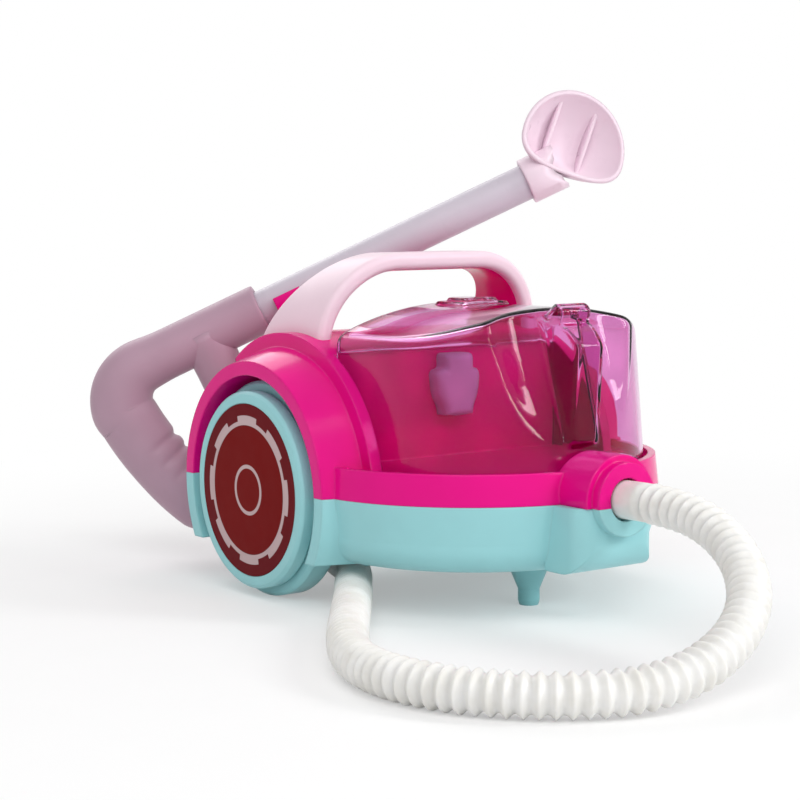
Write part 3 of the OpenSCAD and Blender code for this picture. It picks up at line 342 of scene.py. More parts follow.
def make_lens():
    """The lens is where rays from the middle of its back leave that form, over the front half."""
    spread = np.linspace(0, np.pi / 2, LENS_RINGS)[:, None]
    angle = np.linspace(0, 2 * np.pi, LENS_SIDES, endpoint=False)[None, :]
    ways = np.stack([np.sin(spread) * np.cos(angle), -np.cos(spread) + 0 * angle,
                     np.sin(spread) * np.sin(angle)], -1)
    middle = np.array([0, LENS_Y, LENS_Z + LENS_H / 2])
    face = ray_points(lens_depth, middle, ways, LENS_REACH)
    lens = thicken(grid_piece("frosted_lamp_lens", face, wrap_cols=True), LENS_WALL)
    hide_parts("lamp_lens")
    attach(lens, "chassis")
    return lens


lens = make_lens()


# ---- Carry handle

HANDLE_HALF_W, HANDLE_TOP_Z, HANDLE_CORNER, HANDLE_T = 44.5, 109.0, 28.0, 5.5
HANDLE_FOOT_Z, HANDLE_BASE_Z = 74.0, 80.6
HANDLE_FOOT_Y, HANDLE_TOP_Y = (50.5, 90.0), (42.5, 57.5)
HANDLE_SWAY = (0.42, 0.75)
HANDLE_ROUND, BAND_SIDES = 2.3, 40
# Points up a side, round a corner and along the top of the arch, with the ends that they share.
CLIMB_POINTS, CORNER_POINTS, SPAN_POINTS = 16, 44, 12
LINER_T, LINER_INSET, LINER_PROUD, LINER_ROUND = 1.4, 2.6, 0.25, 0.45


def arch_line(inset):
    """The arch in the front view: up the left side, round a corner, along the top and down the
    right side, drawn in by the inset. Gives the points and the outward directions."""
    corner = HANDLE_CORNER - inset
    side_x, top_z = HANDLE_HALF_W - inset, HANDLE_TOP_Z - inset
    climb = np.linspace(0, 1, CLIMB_POINTS)[:-1]
    bend = np.linspace(0, np.pi / 2, CORNER_POINTS)
    span = np.linspace(0, 1, SPAN_POINTS)[1:-1]
    x = np.concatenate([np.full(len(climb), -side_x), -side_x + corner - corner * np.cos(bend),
                        (side_x - corner) * (2 * span - 1)])
    z = np.concatenate([HANDLE_BASE_Z + (top_z - corner - HANDLE_BASE_Z) * climb,
                        top_z - corner + corner * np.sin(bend), np.full(len(span), top_z)])
    nx = np.concatenate([np.full(len(climb), -1.0), -np.cos(bend), 0 * span])
    nz = np.concatenate([0 * climb, np.sin(bend), np.ones(len(span))])
    half = len(climb) + len(bend)
    x, z = np.concatenate([x, -x[:half][::-1]]), np.concatenate([z, z[:half][::-1]])
    nx, nz = np.concatenate([nx, -nx[:half][::-1]]), np.concatenate([nz, nz[:half][::-1]])
    return x, z, nx, nz


def handle_reach(z, end):
    """Front or rear edge of the handle at a height: it sways from the foot to the top bar as a
    straight share plus a squared share of the climb."""
    climb = np.clip((z - HANDLE_FOOT_Z) / (HANDLE_TOP_Z - HANDLE_FOOT_Z), 0, 1)
    sway = HANDLE_SWAY[end] * climb + (1 - HANDLE_SWAY[end]) * climb ** 2
    return HANDLE_FOOT_Y[end] + (HANDLE_TOP_Y[end] - HANDLE_FOOT_Y[end]) * sway


def band(name, inset, thick, draw_in, corner):
    """A rounded rectangle carried along the arch: its thickness lies across the arch's line and
    its width runs from the handle's front edge to its rear edge. Both ends are closed."""
    x, z, nx, nz = arch_line(inset)
    front, rear = handle_reach(z, 0) + draw_in, handle_reach(z, 1) - draw_in
    middle, half_w = (front + rear) / 2, (rear - front) / 2
    angle = (np.arange(BAND_SIDES) + 0.5) / BAND_SIDES * 2 * np.pi
    quarter = np.floor(angle / (np.pi / 2)) * np.pi / 2 + np.pi / 4
    out = np.sign(np.cos(quarter)) * (thick / 2 - corner) + corner * np.cos(angle)
    deep = np.sign(np.sin(quarter)) * (half_w[:, None] - corner) + corner * np.sin(angle)
    points = np.stack([x[:, None] + nx[:, None] * out, middle[:, None] + deep,
                       z[:, None] + nz[:, None] * out], -1)
    ends = points[[0, -1]].mean(1, keepdims=True) + 0 * points[[0, -1]]
    piece = grid_piece(name, np.concatenate([ends[:1], points, ends[1:]]), wrap_cols=True)
    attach(piece, "chassis")
    return piece


def make_handle():
    """The pale arch with soft edges, and the bright strip that lines its inner side."""
    arch = band("soft_carry_handle", HANDLE_T / 2, HANDLE_T, 0.0, HANDLE_ROUND)
    liner = band("soft_handle_liner", HANDLE_T + LINER_PROUD - LINER_T / 2, LINER_T, LINER_INSET,
                 LINER_ROUND)
    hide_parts("carry_handle")
    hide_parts("handle_liner")
    return arch, liner


handle, liner = make_handle()


# ---- Wand: grip, hose branch and nozzle

def turned_axes(yaw, rise):
    """Three directions at right angles: one turned by the yaw and lifted by the rise, a level one
    to its left, and one above it."""
    return np.array([
        [math.cos(rise) * math.cos(yaw), math.cos(rise) * math.sin(yaw), math.sin(rise)],
        [-math.sin(yaw), math.cos(yaw), 0],
        [-math.sin(rise) * math.cos(yaw), -math.sin(rise) * math.sin(yaw), math.cos(rise)]])


WAND_BASE = np.array([-50.0, 142.0, 72.0])
WAND_YAW, WAND_RISE = math.radians(-35.9), math.radians(25.0)
WAND_AXES = turned_axes(WAND_YAW, WAND_RISE)
NECK_R, NECK_END, NECK_SEAT_R = 8.85, 39.4, 6.35
# The neck's end, how far in and how wide: the seat's bore, its bevel, the face and the outer edge.
MOUTH_IN = np.array([7.0, 0.7, 0.2, 0.0, 0.0, 0.15])
MOUTH_R = np.array([NECK_SEAT_R, NECK_SEAT_R, NECK_SEAT_R + 0.15, NECK_SEAT_R + 0.6,
                    NECK_R - 0.7, NECK_R - 0.2])
GRIP_BACK, GRIP_R, GRIP_END_R = 20.0, 11.0, 11.5
GRIP_CURVE_R, GRIP_TURN, GRIP_LEAN = 95.0, math.radians(31.8), math.radians(4.0)
# Where the neck begins to swell into the grip, over what length, and the length of the end's swell.
GRIP_SWELL_AT, GRIP_SWELL_LEN, GRIP_END_LEN = 36.0, 26.0, 22.0
GRIP_RINGS, GRIP_SIDES, GRIP_CLOSE = 260, 96, 26
ELBOW_R = 14.0
NECK_POINTS, ELBOW_POINTS, BOW_POINTS = 80, 60, 120
# The grip's line is eased over so many points, and left as it is for so many at either end.
EASED_OVER, EASED_FROM = 9, 6
FINGERS, FINGER_AT, FINGER_PITCH = 3, 84.0, 6.4
FINGER_DEPTH, FINGER_WIDE, FINGER_FADE = 1.1, 1.5, 0.8
STUB_X, STUB_R, STUB_LEN, STUB_SOCKET_R, STUB_SOCKET = 17.0, 8.4, 21.0, 6.4, 9.0
STUB_BORE_R, STUB_SIDES = 4.2, 72
TUBE_R, TUBE_LEN = 6.25, 150.0
COLLAR_R, COLLAR_LEN, COLLAR_IN, COLLAR_TRIM, COLLAR_SIDES = 8.05, 8.0, 5.0, 0.05, 80
NOZZLE_SHIFT = np.array([12.0, -2.0, 4.0])
NOZZLE_R, NOZZLE_DEPTH, NOZZLE_CUT, NOZZLE_WALL = 20.0, 13.0, 10.5, 1.7
NOZZLE_BALL_R = (NOZZLE_R ** 2 + NOZZLE_DEPTH ** 2) / (2 * NOZZLE_DEPTH)
NOZZLE_CORNER, NOZZLE_MIDDLE_Z, NOZZLE_REACH = 9.0, 3.0, 60.0
SCOOP_RINGS, SCOOP_SIDES = 70, 160
# How far the nozzle's mouth is swung and tipped.
NOZZLE_SWING, NOZZLE_TIP = math.radians(24.0), math.radians(42.0)
HEAD_AXES = turned_axes(NOZZLE_SWING, -NOZZLE_TIP)
# The ribs' place and thickness, how deep their edge lies at either end, and how far in they stop.
RIB_X, RIB_HALF_T, RIB_LOW, RIB_HIGH = 7.0, 0.75, 0.7, 0.1
RIB_LOW_IN, RIB_HIGH_IN, RIB_ROWS, RIB_NOSE = 1.2, 2.4, 40, 15


def from_wand(local):
    """Points given along, across and above the wand, in the frame."""
    return WAND_BASE + local @ WAND_AXES


def grip_line(count):
    """The grip's middle line in the wand's upright plane: straight along the neck, round an
    elbow, and down a wide arc. Given as places along and above the wand, at even steps. Away from
    the ends, each point is eased to the mean of the points about it."""
    elbow = np.pi / 2 - GRIP_LEAN
    cut = ELBOW_R * math.tan(elbow / 2)
    places = np.linspace(NECK_END, cut - GRIP_BACK, NECK_POINTS)
    neck = np.stack([places, np.zeros(NECK_POINTS)], -1)
    turn = np.linspace(0, elbow, ELBOW_POINTS)[1:]
    bend = np.stack([cut - GRIP_BACK - ELBOW_R * np.sin(turn), ELBOW_R * (np.cos(turn) - 1)], -1)
    sweep = np.linspace(cut / GRIP_CURVE_R, GRIP_TURN, BOW_POINTS)[1:]
    bow = np.stack([GRIP_CURVE_R * (1 - np.cos(sweep)), -GRIP_CURVE_R * np.sin(sweep)], -1)
    tilt = np.array([[math.cos(GRIP_LEAN), -math.sin(GRIP_LEAN)],
                     [math.sin(GRIP_LEAN), math.cos(GRIP_LEAN)]])
    line = np.concatenate([neck, bend, bow @ tilt + [-GRIP_BACK, 0]])
    step = np.concatenate([[0], np.cumsum(np.linalg.norm(np.diff(line, axis=0), axis=1))])
    even = np.linspace(0, step[-1], count)
    line = np.stack([np.interp(even, step, line[:, i]) for i in (0, 1)], -1)
    soft = np.ones(EASED_OVER) / EASED_OVER
    eased = np.stack([np.convolve(np.pad(line[:, i], EASED_OVER // 2, "edge"), soft, "valid")
                      for i in (0, 1)], -1)
    eased[:EASED_FROM], eased[-EASED_FROM:] = line[:EASED_FROM], line[-EASED_FROM:]
    return eased, even


def smooth_step(run, start, length):
    """Nothing up to the start, one after the length, and a smooth cubic between them."""
    share = np.clip((run - start) / length, 0, 1)
    return share ** 2 * (3 - 2 * share)


def make_grip():
    """Circles carried along the grip's line. The radius swells smoothly from the neck to the grip
    and to its end, narrow finger grooves are drawn in on the inner side, the far end is
    rounded by a quarter circle, and the neck's end turns in to the tube's seat."""
    line, run = grip_line(GRIP_RINGS)
    radius = (NECK_R + (GRIP_R - NECK_R) * smooth_step(run, GRIP_SWELL_AT, GRIP_SWELL_LEN)
              + (GRIP_END_R - GRIP_R) * smooth_step(run, run[-1] - GRIP_END_LEN, GRIP_END_LEN))
    close = np.linspace(0, np.pi / 2, GRIP_CLOSE)[1:]
    way = unit(np.gradient(line, axis=0))
    line = np.concatenate([line, line[-1] + radius[-1] * np.sin(close)[:, None] * way[-1]])
    way = np.concatenate([way, np.repeat(way[-1:], len(close), axis=0)])
    run = np.concatenate([run, np.full(len(close), run[-1])])
    radius = np.concatenate([radius, radius[-1] * np.cos(close)])
    mouth_x = NECK_END - MOUTH_IN
    line = np.concatenate([np.stack([mouth_x, 0 * mouth_x], -1), line[2:]])
    way = np.concatenate([np.repeat(way[:1], len(mouth_x), axis=0), way[2:]])
    run = np.concatenate([0 * mouth_x, run[2:]])
    radius = np.concatenate([MOUTH_R, radius[2:]])
    angle = np.linspace(0, 2 * np.pi, GRIP_SIDES, endpoint=False)
    inner = np.clip(np.cos(angle), 0, 1) ** FINGER_FADE
    fingers = sum(np.exp(-((run - FINGER_AT - i * FINGER_PITCH) / FINGER_WIDE) ** 2)
                  for i in range(FINGERS))
    reach = radius[:, None] - FINGER_DEPTH * fingers[:, None] * inner
    normal = np.stack([-way[:, 1], way[:, 0]], -1)
    local = np.stack([line[:, None, 0] + reach * np.cos(angle) * normal[:, None, 0],
                      reach * np.sin(angle),
                      line[:, None, 1] + reach * np.cos(angle) * normal[:, None, 1]], -1)
    grip = grid_piece("wand_grip", from_wand(local), wrap_cols=True)
    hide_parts("grip_left_half", "grip_right_half", "grip_screws")
    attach(grip, "wand")
    return grip


def make_branch():
    """The hose's branch under the neck: a profile of radius and height turned about its own
    axis, flared into the neck at the top, with a rounded lip and a socket from below."""
    flare = [[9.4, 1.0], [9.1, -2.0], [8.75, -5.5], [8.5, -9.0], [STUB_R, -12.5], [STUB_R, -20.0]]
    rim = [[8.25, -20.6], [7.9, -STUB_LEN], [6.9, -STUB_LEN], [6.5, -20.8], [STUB_SOCKET_R, -20.3]]
    seat = STUB_SOCKET - STUB_LEN
    socket = [[STUB_SOCKET_R, seat], [STUB_BORE_R, seat], [STUB_BORE_R, 1.0]]
    profile = np.array(flare + rim + socket)
    angle = np.linspace(0, 2 * np.pi, STUB_SIDES, endpoint=False)
    local = np.stack([STUB_X + profile[:, :1] * np.cos(angle), profile[:, :1] * np.sin(angle),
                      profile[:, 1:] + 0 * angle], -1)
    branch = grid_piece("hose_branch", from_wand(local), wrap_rows=True, wrap_cols=True)
    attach(branch, "wand")
    return branch


def from_head(local):
    """Points given across, behind and above the nozzle's mouth, in the frame."""
    return from_wand(np.array([TUBE_LEN, 0, 0]) + NOZZLE_SHIFT + local @ HEAD_AXES)


def scoop_depth(p):
    """Depth in the scoop: a wide ball behind the mouth, cut straight below with round corners."""
    x, y, z = p[..., 0], p[..., 1] - NOZZLE_DEPTH + NOZZLE_BALL_R, p[..., 2]
    ball = np.sqrt(x ** 2 + y ** 2 + z ** 2) - NOZZLE_BALL_R
    return soft_max(ball, -NOZZLE_CUT - z, NOZZLE_CORNER)


def make_scoop():
    """The scoop is where rays from the middle of its mouth leave that form, over the half space
    behind the mouth."""
    spread = np.linspace(0, np.pi / 2, SCOOP_RINGS)[:, None]
    angle = np.linspace(0, 2 * np.pi, SCOOP_SIDES, endpoint=False)[None, :]
    ways = np.stack([np.sin(spread) * np.cos(angle), np.cos(spread) + 0 * angle,
                     np.sin(spread) * np.sin(angle)], -1)
    bowl = ray_points(scoop_depth, np.array([0, 0, NOZZLE_MIDDLE_Z]), ways, NOZZLE_REACH)
    scoop = thicken(grid_piece("nozzle_scoop", from_head(bowl), wrap_cols=True), NOZZLE_WALL)
    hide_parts("nozzle")
    return scoop


def make_ribs():
    """Each rib is a round-nosed fin from the middle of the scoop's wall. Its edge runs straight
    from the deep lower end to the rim, and closes with the wall where the two would cross."""
    low_z, high_z = -NOZZLE_CUT + RIB_LOW_IN, NOZZLE_R - RIB_HIGH_IN
    z = low_z + (high_z - low_z) * np.linspace(0, 1, RIB_ROWS)[:, None]
    nose = np.linspace(0, np.pi, RIB_NOSE)[None, :]
    climb = (z + NOZZLE_CUT) / (NOZZLE_R + NOZZLE_CUT)
    starts = np.stack([RIB_X + 0 * z, 0 * z, z], -1)
    back = ray_points(lambda p: scoop_depth(p) + NOZZLE_WALL / 2, starts,
                      np.array([[[0, 1.0, 0]]]) + 0 * starts, 2 * NOZZLE_DEPTH)[..., 1]
    edge = NOZZLE_DEPTH * (RIB_LOW + (RIB_HIGH - RIB_LOW) * climb)
    edge = np.minimum(edge, back - RIB_HALF_T)
    nosed = np.concatenate([np.cos(nose), [[-1.0, 1.0]]], axis=1)
    y = np.concatenate([edge + RIB_HALF_T - RIB_HALF_T * np.sin(nose), back, back], axis=1)
    ribs = []
    for side in (-1, 1):
        fin = np.stack([side * RIB_X + RIB_HALF_T * nosed + 0 * z, y, z + 0 * nosed], -1)
        ends = fin[[0, -1]].mean(1, keepdims=True) + 0 * fin[[0, -1]]
        closed = np.concatenate([ends[:1], fin, ends[1:]])
        ribs.append(grid_piece("nozzle_rib", from_head(closed), wrap_cols=True))
    return ribs


def make_collar():
    """The collar is a profile of radius and place along the tube, turned about the tube and
    trimmed level with the scoop's mouth."""
    profile = np.array([[TUBE_R + 0.1, 4.0], [TUBE_R + 0.1, -COLLAR_LEN + 0.4],
                        [TUBE_R + 0.4, -COLLAR_LEN], [COLLAR_R - 0.5, -COLLAR_LEN],
                        [COLLAR_R - 0.1, -COLLAR_LEN + 0.2], [COLLAR_R, -COLLAR_LEN + 0.6],
                        [COLLAR_R, 2.0], [COLLAR_R, COLLAR_IN]])
    angle = np.linspace(0, 2 * np.pi, COLLAR_SIDES, endpoint=False)
    left, above = profile[:, :1] * np.cos(angle), profile[:, :1] * np.sin(angle)
    behind = HEAD_AXES[1]
    limit = ((NOZZLE_SHIFT @ behind) - left * behind[1] - above * behind[2]) / behind[0]
    reach = np.minimum(profile[:, 1:] + 0 * angle, limit - COLLAR_TRIM)
    local = np.stack([TUBE_LEN + reach, left, above], -1)
    return grid_piece("nozzle_collar", from_wand(local), wrap_cols=True, wrap_rows=True)


def make_nozzle():
    """The scoop, its two ribs and the collar that turns on the tube."""
    scoop, ribs, collar = make_scoop(), make_ribs(), make_collar()
    for piece in (scoop, collar, *ribs):
        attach(piece, "nozzle")
    return scoop, collar, ribs


grip = make_grip()
branch = make_branch()
scoop, collar, scoop_ribs = make_nozzle()


# ---- Finishes

def place(tree, kind, inputs=None, **settings):
    """Adds a node, sets its properties, and links or sets its inputs by name or number."""
    made = tree.nodes.new(kind)
    for key, value in settings.items():
        setattr(made, key, value)
    for key, value in (inputs or {}).items():
        if isinstance(value, bpy.types.NodeSocket):
            tree.links.new(value, made.inputs[key])
        else:
            made.inputs[key].default_value = value
    return made


def maths(tree, operation, a, b=0.0, clamp=False):
    """One arithmetic step on two values."""
    made = place(tree, "ShaderNodeMath", {0: a, 1: b}, operation=operation, use_clamp=clamp)
    return made.outputs[0]


def distance(tree, a, b):
    """The root of the sum of two squares."""
    squares = [maths(tree, "MULTIPLY", value, value) for value in (a, b)]
    return maths(tree, "SQRT", maths(tree, "ADD", *squares))


def share_along(tree, a, b):
    """How far one direction goes along another: their dot product."""
    made = place(tree, "ShaderNodeVectorMath", {0: a, 1: b}, operation="DOT_PRODUCT")
    return made.outputs["Value"]


def fade(tree, value, low, high, to_low=0.0, to_high=1.0):
    """A value carried from one range smoothly to another."""
    made = place(tree, "ShaderNodeMapRange", {0: value, 1: low, 2: high, 3: to_low, 4: to_high},
                 interpolation_type="SMOOTHSTEP")
    return made.outputs[0]


def blend_colour(tree, share, a, b):
    """One colour going over to another by a share."""
    made = place(tree, "ShaderNodeMix", {0: share, 6: a, 7: b}, data_type="RGBA")
    return made.outputs[2]


def on_piece(tree):
    """Places on the piece itself, so that a pattern moves with it."""
    return place(tree, "ShaderNodeTexCoord").outputs["Object"]


def mapped(tree, where, **change):
    """Places shifted, turned or stretched."""
    return place(tree, "ShaderNodeMapping", {"Vector": where, **change}).outputs[0]


def noise(tree, where, scale, detail):
    """Cloudy noise of a scale, with so many finer layers."""
    values = {"Vector": where, "Scale": scale, "Detail": detail}
    return place(tree, "ShaderNodeTexNoise", values).outputs[0]


def relief(tree, height, strength, depth, **under):
    """A normal bent by a height, over another normal where one is given."""
    values = {"Height": height, "Strength": strength, "Distance": depth, **under}
    return place(tree, "ShaderNodeBump", values).outputs[0]


def feed(tree, node, **values):
    """Links values to a node's inputs of the same names, with spaces for underscores."""
    for key, value in values.items():
        tree.links.new(value, node.inputs[key.replace("_", " ")])


def group(name, inputs, outputs):
    """An empty node group with named inputs, given as kind and starting value, and outputs."""
    tree = bpy.data.node_groups.new(name, "ShaderNodeTree")
    for key, (kind, value) in inputs.items():
        socket = tree.interface.new_socket(key, in_out="INPUT", socket_type=kind)
        socket.default_value = value
    for key, kind in outputs.items():
        tree.interface.new_socket(key, in_out="OUTPUT", socket_type=kind)
    return tree, tree.nodes.new("NodeGroupInput"), tree.nodes.new("NodeGroupOutput")


FLOAT, COLOUR, VECTOR = "NodeSocketFloat", "NodeSocketColor", "NodeSocketVector"
# How much clouds count, how much handling and edges dull a skin, and the painted edge sheen's tone.
CLOUD_GAIN, HANDLED_DULL, EDGE_DULL = 4.0, 0.22, 0.08
EDGE_SHEEN_TONE = (1, 0.97, 0.98, 1)


def make_moulded_skin():
    """Skin of moulded plastic: a faint cloudiness in the colour, a painted sheen on the edges, fine
    grain and slow waves in the surface, and edges that catch the light as rounded ones do."""
    tree, given, out = group(
        "moulded_skin",
        {"Colour": (COLOUR, (0.8, 0.8, 0.8, 1)), "Cloud": (FLOAT, 0.04), "Rub": (FLOAT, 0.1),
         "Roughness": (FLOAT, 0.3), "Grain": (FLOAT, 0.15), "Edge": (FLOAT, 0.0006)},
        {"Colour": COLOUR, "Roughness": FLOAT, "Normal": VECTOR})
    where = on_piece(tree)
    value = given.outputs
    cloud = noise(tree, where, scale=55.0, detail=3.0)
    fine = noise(tree, where, scale=2600.0, detail=2.0)
    wave = noise(tree, where, scale=120.0, detail=1.0)
    handled = noise(tree, where, scale=210.0, detail=5.0)
    round_edge = place(tree, "ShaderNodeBevel", {"Radius": value["Edge"]}, samples=8).outputs[0]
    flat = place(tree, "ShaderNodeNewGeometry").outputs["Normal"]
    edge = fade(tree, share_along(tree, round_edge, flat), low=0.995, high=0.80)
    lift = maths(tree, "MULTIPLY", maths(tree, "SUBTRACT", cloud, 0.5),
                 maths(tree, "MULTIPLY", value["Cloud"], CLOUD_GAIN))
    shaded = place(tree, "ShaderNodeHueSaturation",
                   {"Value": maths(tree, "ADD", lift, 1.0), "Color": value["Colour"]}).outputs[0]
    # Painted sheen: rounded edges are blended towards a pale tone, a highlight painted into the
    # colour.
    sheen_share = maths(tree, "MULTIPLY", edge, value["Rub"])
    sheened = blend_colour(tree, sheen_share, shaded, EDGE_SHEEN_TONE)
    dull = maths(tree, "MULTIPLY", maths(tree, "SUBTRACT", handled, 0.5), HANDLED_DULL)
    rough = maths(tree, "ADD", value["Roughness"], dull)
    rough = maths(tree, "ADD", rough, maths(tree, "MULTIPLY", edge, EDGE_DULL), clamp=True)
    waves = relief(tree, wave, strength=0.12, depth=0.0006, Normal=round_edge)
    grain = relief(tree, fine, strength=value["Grain"], depth=0.00006, Normal=waves)
    feed(tree, out, Colour=sheened, Roughness=rough, Normal=grain)
    return tree


MOULDED_SKIN = make_moulded_skin()


def new_material(name, **plain):
    """A material with one Principled shader; plain values are set on the shader's own sockets."""
    made = bpy.data.materials.new(name)
    made.use_nodes = True
    tree = made.node_tree
    shader = tree.nodes["Principled BSDF"]
    for key, value in plain.items():
        shader.inputs[key.replace("_", " ")].default_value = value
    return made, tree, shader


def skin(tree, shader, colour, **values):
    """Places the moulded skin in a material and feeds the shader from it."""
    tone = colour if isinstance(colour, bpy.types.NodeSocket) else (*colour, 1)
    made = place(tree, "ShaderNodeGroup", {"Colour": tone, **values}, node_tree=MOULDED_SKIN)
    feed(tree, shader, Base_Color=made.outputs["Colour"], Roughness=made.outputs["Roughness"],
         Normal=made.outputs["Normal"])


# How strongly moulded plastic and printed film mirror the room.
PLASTIC_GLOSS, FILM_GLOSS = 0.15, 0.05


def moulded(name, colour, **values):
    """Solid-coloured moulded plastic."""
    made, tree, shader = new_material(name, Specular_IOR_Level=PLASTIC_GLOSS)
    skin(tree, shader, colour, **values)
    return made


# The parting line: where it begins and ends to fade, in metres, how strong it is, and its tone.
PARTING_IN, PARTING_OUT, PARTING_SHARE = 0.00008, 0.00022, 0.45
PARTING_TONE = (0.16, 0.09, 0.12, 1)


def make_grip_skin():
    """The grip's plastic, with the fine parting line where its two halves meet: the line lies
    where the distance from the wand's upright plane is next to nothing."""
    made, tree, shader = new_material("mauve_grip_plastic", Specular_IOR_Level=PLASTIC_GLOSS)
    moved = mapped(tree, on_piece(tree), Location=tuple(-WAND_BASE * MM))
    side = share_along(tree, moved, tuple(WAND_AXES[1]))
    line = fade(tree, maths(tree, "ABSOLUTE", side), PARTING_IN, PARTING_OUT, 1.0, 0.0)
    share = maths(tree, "MULTIPLY", line, PARTING_SHARE)
    tone = blend_colour(tree, share, (*MAUVE, 1), PARTING_TONE)
    skin(tree, shader, tone, Cloud=0.04, Rub=0.04, Roughness=0.40, Grain=0.22, Edge=0.0004)
    return made


# The label in metres: the axle's place, the ring with its pads, the small ring, where the border
# begins, and the soft edge of the print. The pads' flanks are given by the cosine of their beat.
AXLE_Y, AXLE_Z = 0.0635, 0.0345
RING_IN, RING_OUT, PAD_OUT, PADS = 0.0206, 0.0220, 0.0017, 8.0
SMALL_RING_IN, SMALL_RING_OUT = 0.0068, 0.0080
BORDER_IN, PRINT_EDGE = 0.0203, 0.0002
PAD_FLANK = (-0.42, -0.36)
RED_TONES = (0.175, 0.001, 0.001, 1), (0.135, 0.004, 0.008, 1)
RING_TONE = (0.56, 0.42, 0.43, 1)


def make_label(side):
    """Printed film: dark red with a pale ring that carries eight pads, and a small ring in the
    middle, both drawn by the distance and the angle about the axle."""
    made, tree, shader = new_material(f"printed_label_{side}", Specular_IOR_Level=FILM_GLOSS)
    centred = mapped(tree, on_piece(tree), Location=(0, -AXLE_Y, -AXLE_Z))
    parts = place(tree, "ShaderNodeSeparateXYZ", {0: centred})
    y, z = parts.outputs[1], parts.outputs[2]
    radius = distance(tree, y, z)
    beat = maths(tree, "COSINE", maths(tree, "MULTIPLY", maths(tree, "ARCTAN2", z, y), PADS))
    pad = fade(tree, beat, *PAD_FLANK)
    past = maths(tree, "SUBTRACT", radius,
                 maths(tree, "ADD", RING_OUT, maths(tree, "MULTIPLY", pad, PAD_OUT)))
    ring = maths(tree, "MULTIPLY", fade(tree, radius, RING_IN, RING_IN + PRINT_EDGE),
                 fade(tree, past, 0.0, PRINT_EDGE, 1.0, 0.0))
    small = maths(tree, "MULTIPLY", fade(tree, radius, SMALL_RING_IN, SMALL_RING_IN + PRINT_EDGE),
                  fade(tree, radius, SMALL_RING_OUT, SMALL_RING_OUT + PRINT_EDGE, 1.0, 0.0))
    border = fade(tree, radius, BORDER_IN, RING_IN)
    red = blend_colour(tree, border, *RED_TONES)
    ink = blend_colour(tree, maths(tree, "MAXIMUM", ring, small), red, RING_TONE)
    skin(tree, shader, ink, Cloud=0.03, Rub=0.03, Roughness=0.42, Grain=0.08, Edge=0.0003)
    return made


# How strongly clear plastic bends light, how deep its patches are, and how scratches dull it.
CLEAR_IOR, CLEAR_DEEP, SCRATCH_DULL = 1.22, 0.9, 0.05


def make_clear(name, colour, rough, haze, clear=1.0):
    """Clear moulded plastic: the colour goes through, and finger marks dull the surface in
    cloudy patches with fine hair scratches."""
    made, tree, shader = new_material(name, Transmission_Weight=clear, IOR=CLEAR_IOR)
    where = on_piece(tree)
    cloud = noise(tree, where, scale=70.0, detail=4.0)
    drawn = mapped(tree, where, Scale=(180.0, 180.0, 2400.0), Rotation=(0.5, 0.3, 0.2))
    hair = noise(tree, drawn, scale=1.0, detail=2.0)
    wave = noise(tree, where, scale=60.0, detail=1.0)
    marks = maths(tree, "MULTIPLY", fade(tree, cloud, low=0.48, high=0.72), haze)
    scratches = maths(tree, "MULTIPLY", fade(tree, hair, low=0.66, high=0.8), SCRATCH_DULL)
    dull = maths(tree, "ADD", rough, maths(tree, "ADD", marks, scratches))
    deep = tuple(CLEAR_DEEP * value for value in colour)
    patches = fade(tree, wave, low=0.35, high=0.65)
    tone = blend_colour(tree, patches, (*colour, 1), (*deep, 1))
    feed(tree, shader, Base_Color=tone, Roughness=dull,
         Normal=relief(tree, wave, strength=0.15, depth=0.0005))
    return made


def make_milky():
    """Milky flexible plastic of the hose: some light soaks in, and it is yellower in patches."""
    made, tree, shader = new_material("milky_hose", Subsurface_Weight=0.2, Subsurface_Scale=0.003,
                                      Subsurface_Radius=(1.0, 0.9, 0.75))
    cloud = noise(tree, on_piece(tree), scale=140.0, detail=4.0)
    tone = blend_colour(tree, fade(tree, cloud, low=0.3, high=0.7), *MILKY_TONES)
    skin(tree, shader, tone, Cloud=0.03, Rub=0.0, Roughness=0.36, Grain=0.1, Edge=0.0002)
    return made


def make_steel():
    """Plated steel with fine turning lines and dull patches."""
    made, tree, shader = new_material("plated_steel", Metallic=1.0)
    where = on_piece(tree)
    cloud = noise(tree, where, scale=320.0, detail=5.0)
    lines = noise(tree, mapped(tree, where, Scale=(300.0, 6000.0, 6000.0)), scale=1.0, detail=2.0)
    feed(tree, shader, Base_Color=blend_colour(tree, cloud, *STEEL_TONES),
         Roughness=maths(tree, "ADD", 0.22, maths(tree, "MULTIPLY", lines, 0.2)),
         Normal=relief(tree, lines, strength=0.2, depth=0.00005))
    return made


def make_jacket():
    """Battery jacket: a golden band next to a dark one, set by the place along the cell."""
    made, tree, shader = new_material("cell_jacket")
    across = place(tree, "ShaderNodeSeparateXYZ", {0: on_piece(tree)}).outputs[0]
    tone = blend_colour(tree, fade(tree, across, *JACKET_SEAM), *JACKET_TONES)
    skin(tree, shader, tone, Cloud=0.04, Rub=0.2, Roughness=0.28, Grain=0.1, Edge=0.0004)
    return made


MAGENTA = (0.78, 0.003, 0.235)
AQUA = (0.33, 0.66, 0.69)
PALE_PINK = (0.88, 0.68, 0.77)
MAUVE = (0.46, 0.30, 0.38)
LILAC = (0.60, 0.55, 0.62)
LAVENDER = (0.83, 0.67, 0.76)
WHITE = (0.84, 0.83, 0.84)
DARK = (0.035, 0.035, 0.04)
COVER_TINT = (0.87, 0.50, 0.77)
LENS_TINT = (0.94, 0.84, 0.95)
MILKY_TONES = (0.78, 0.765, 0.725, 1), (0.85, 0.84, 0.815, 1)
STEEL_TONES = (0.48, 0.48, 0.49, 1), (0.70, 0.70, 0.71, 1)
JACKET_TONES = (0.03, 0.03, 0.035, 1), (0.60, 0.40, 0.08, 1)
JACKET_SEAM = (0.0095, 0.0105)
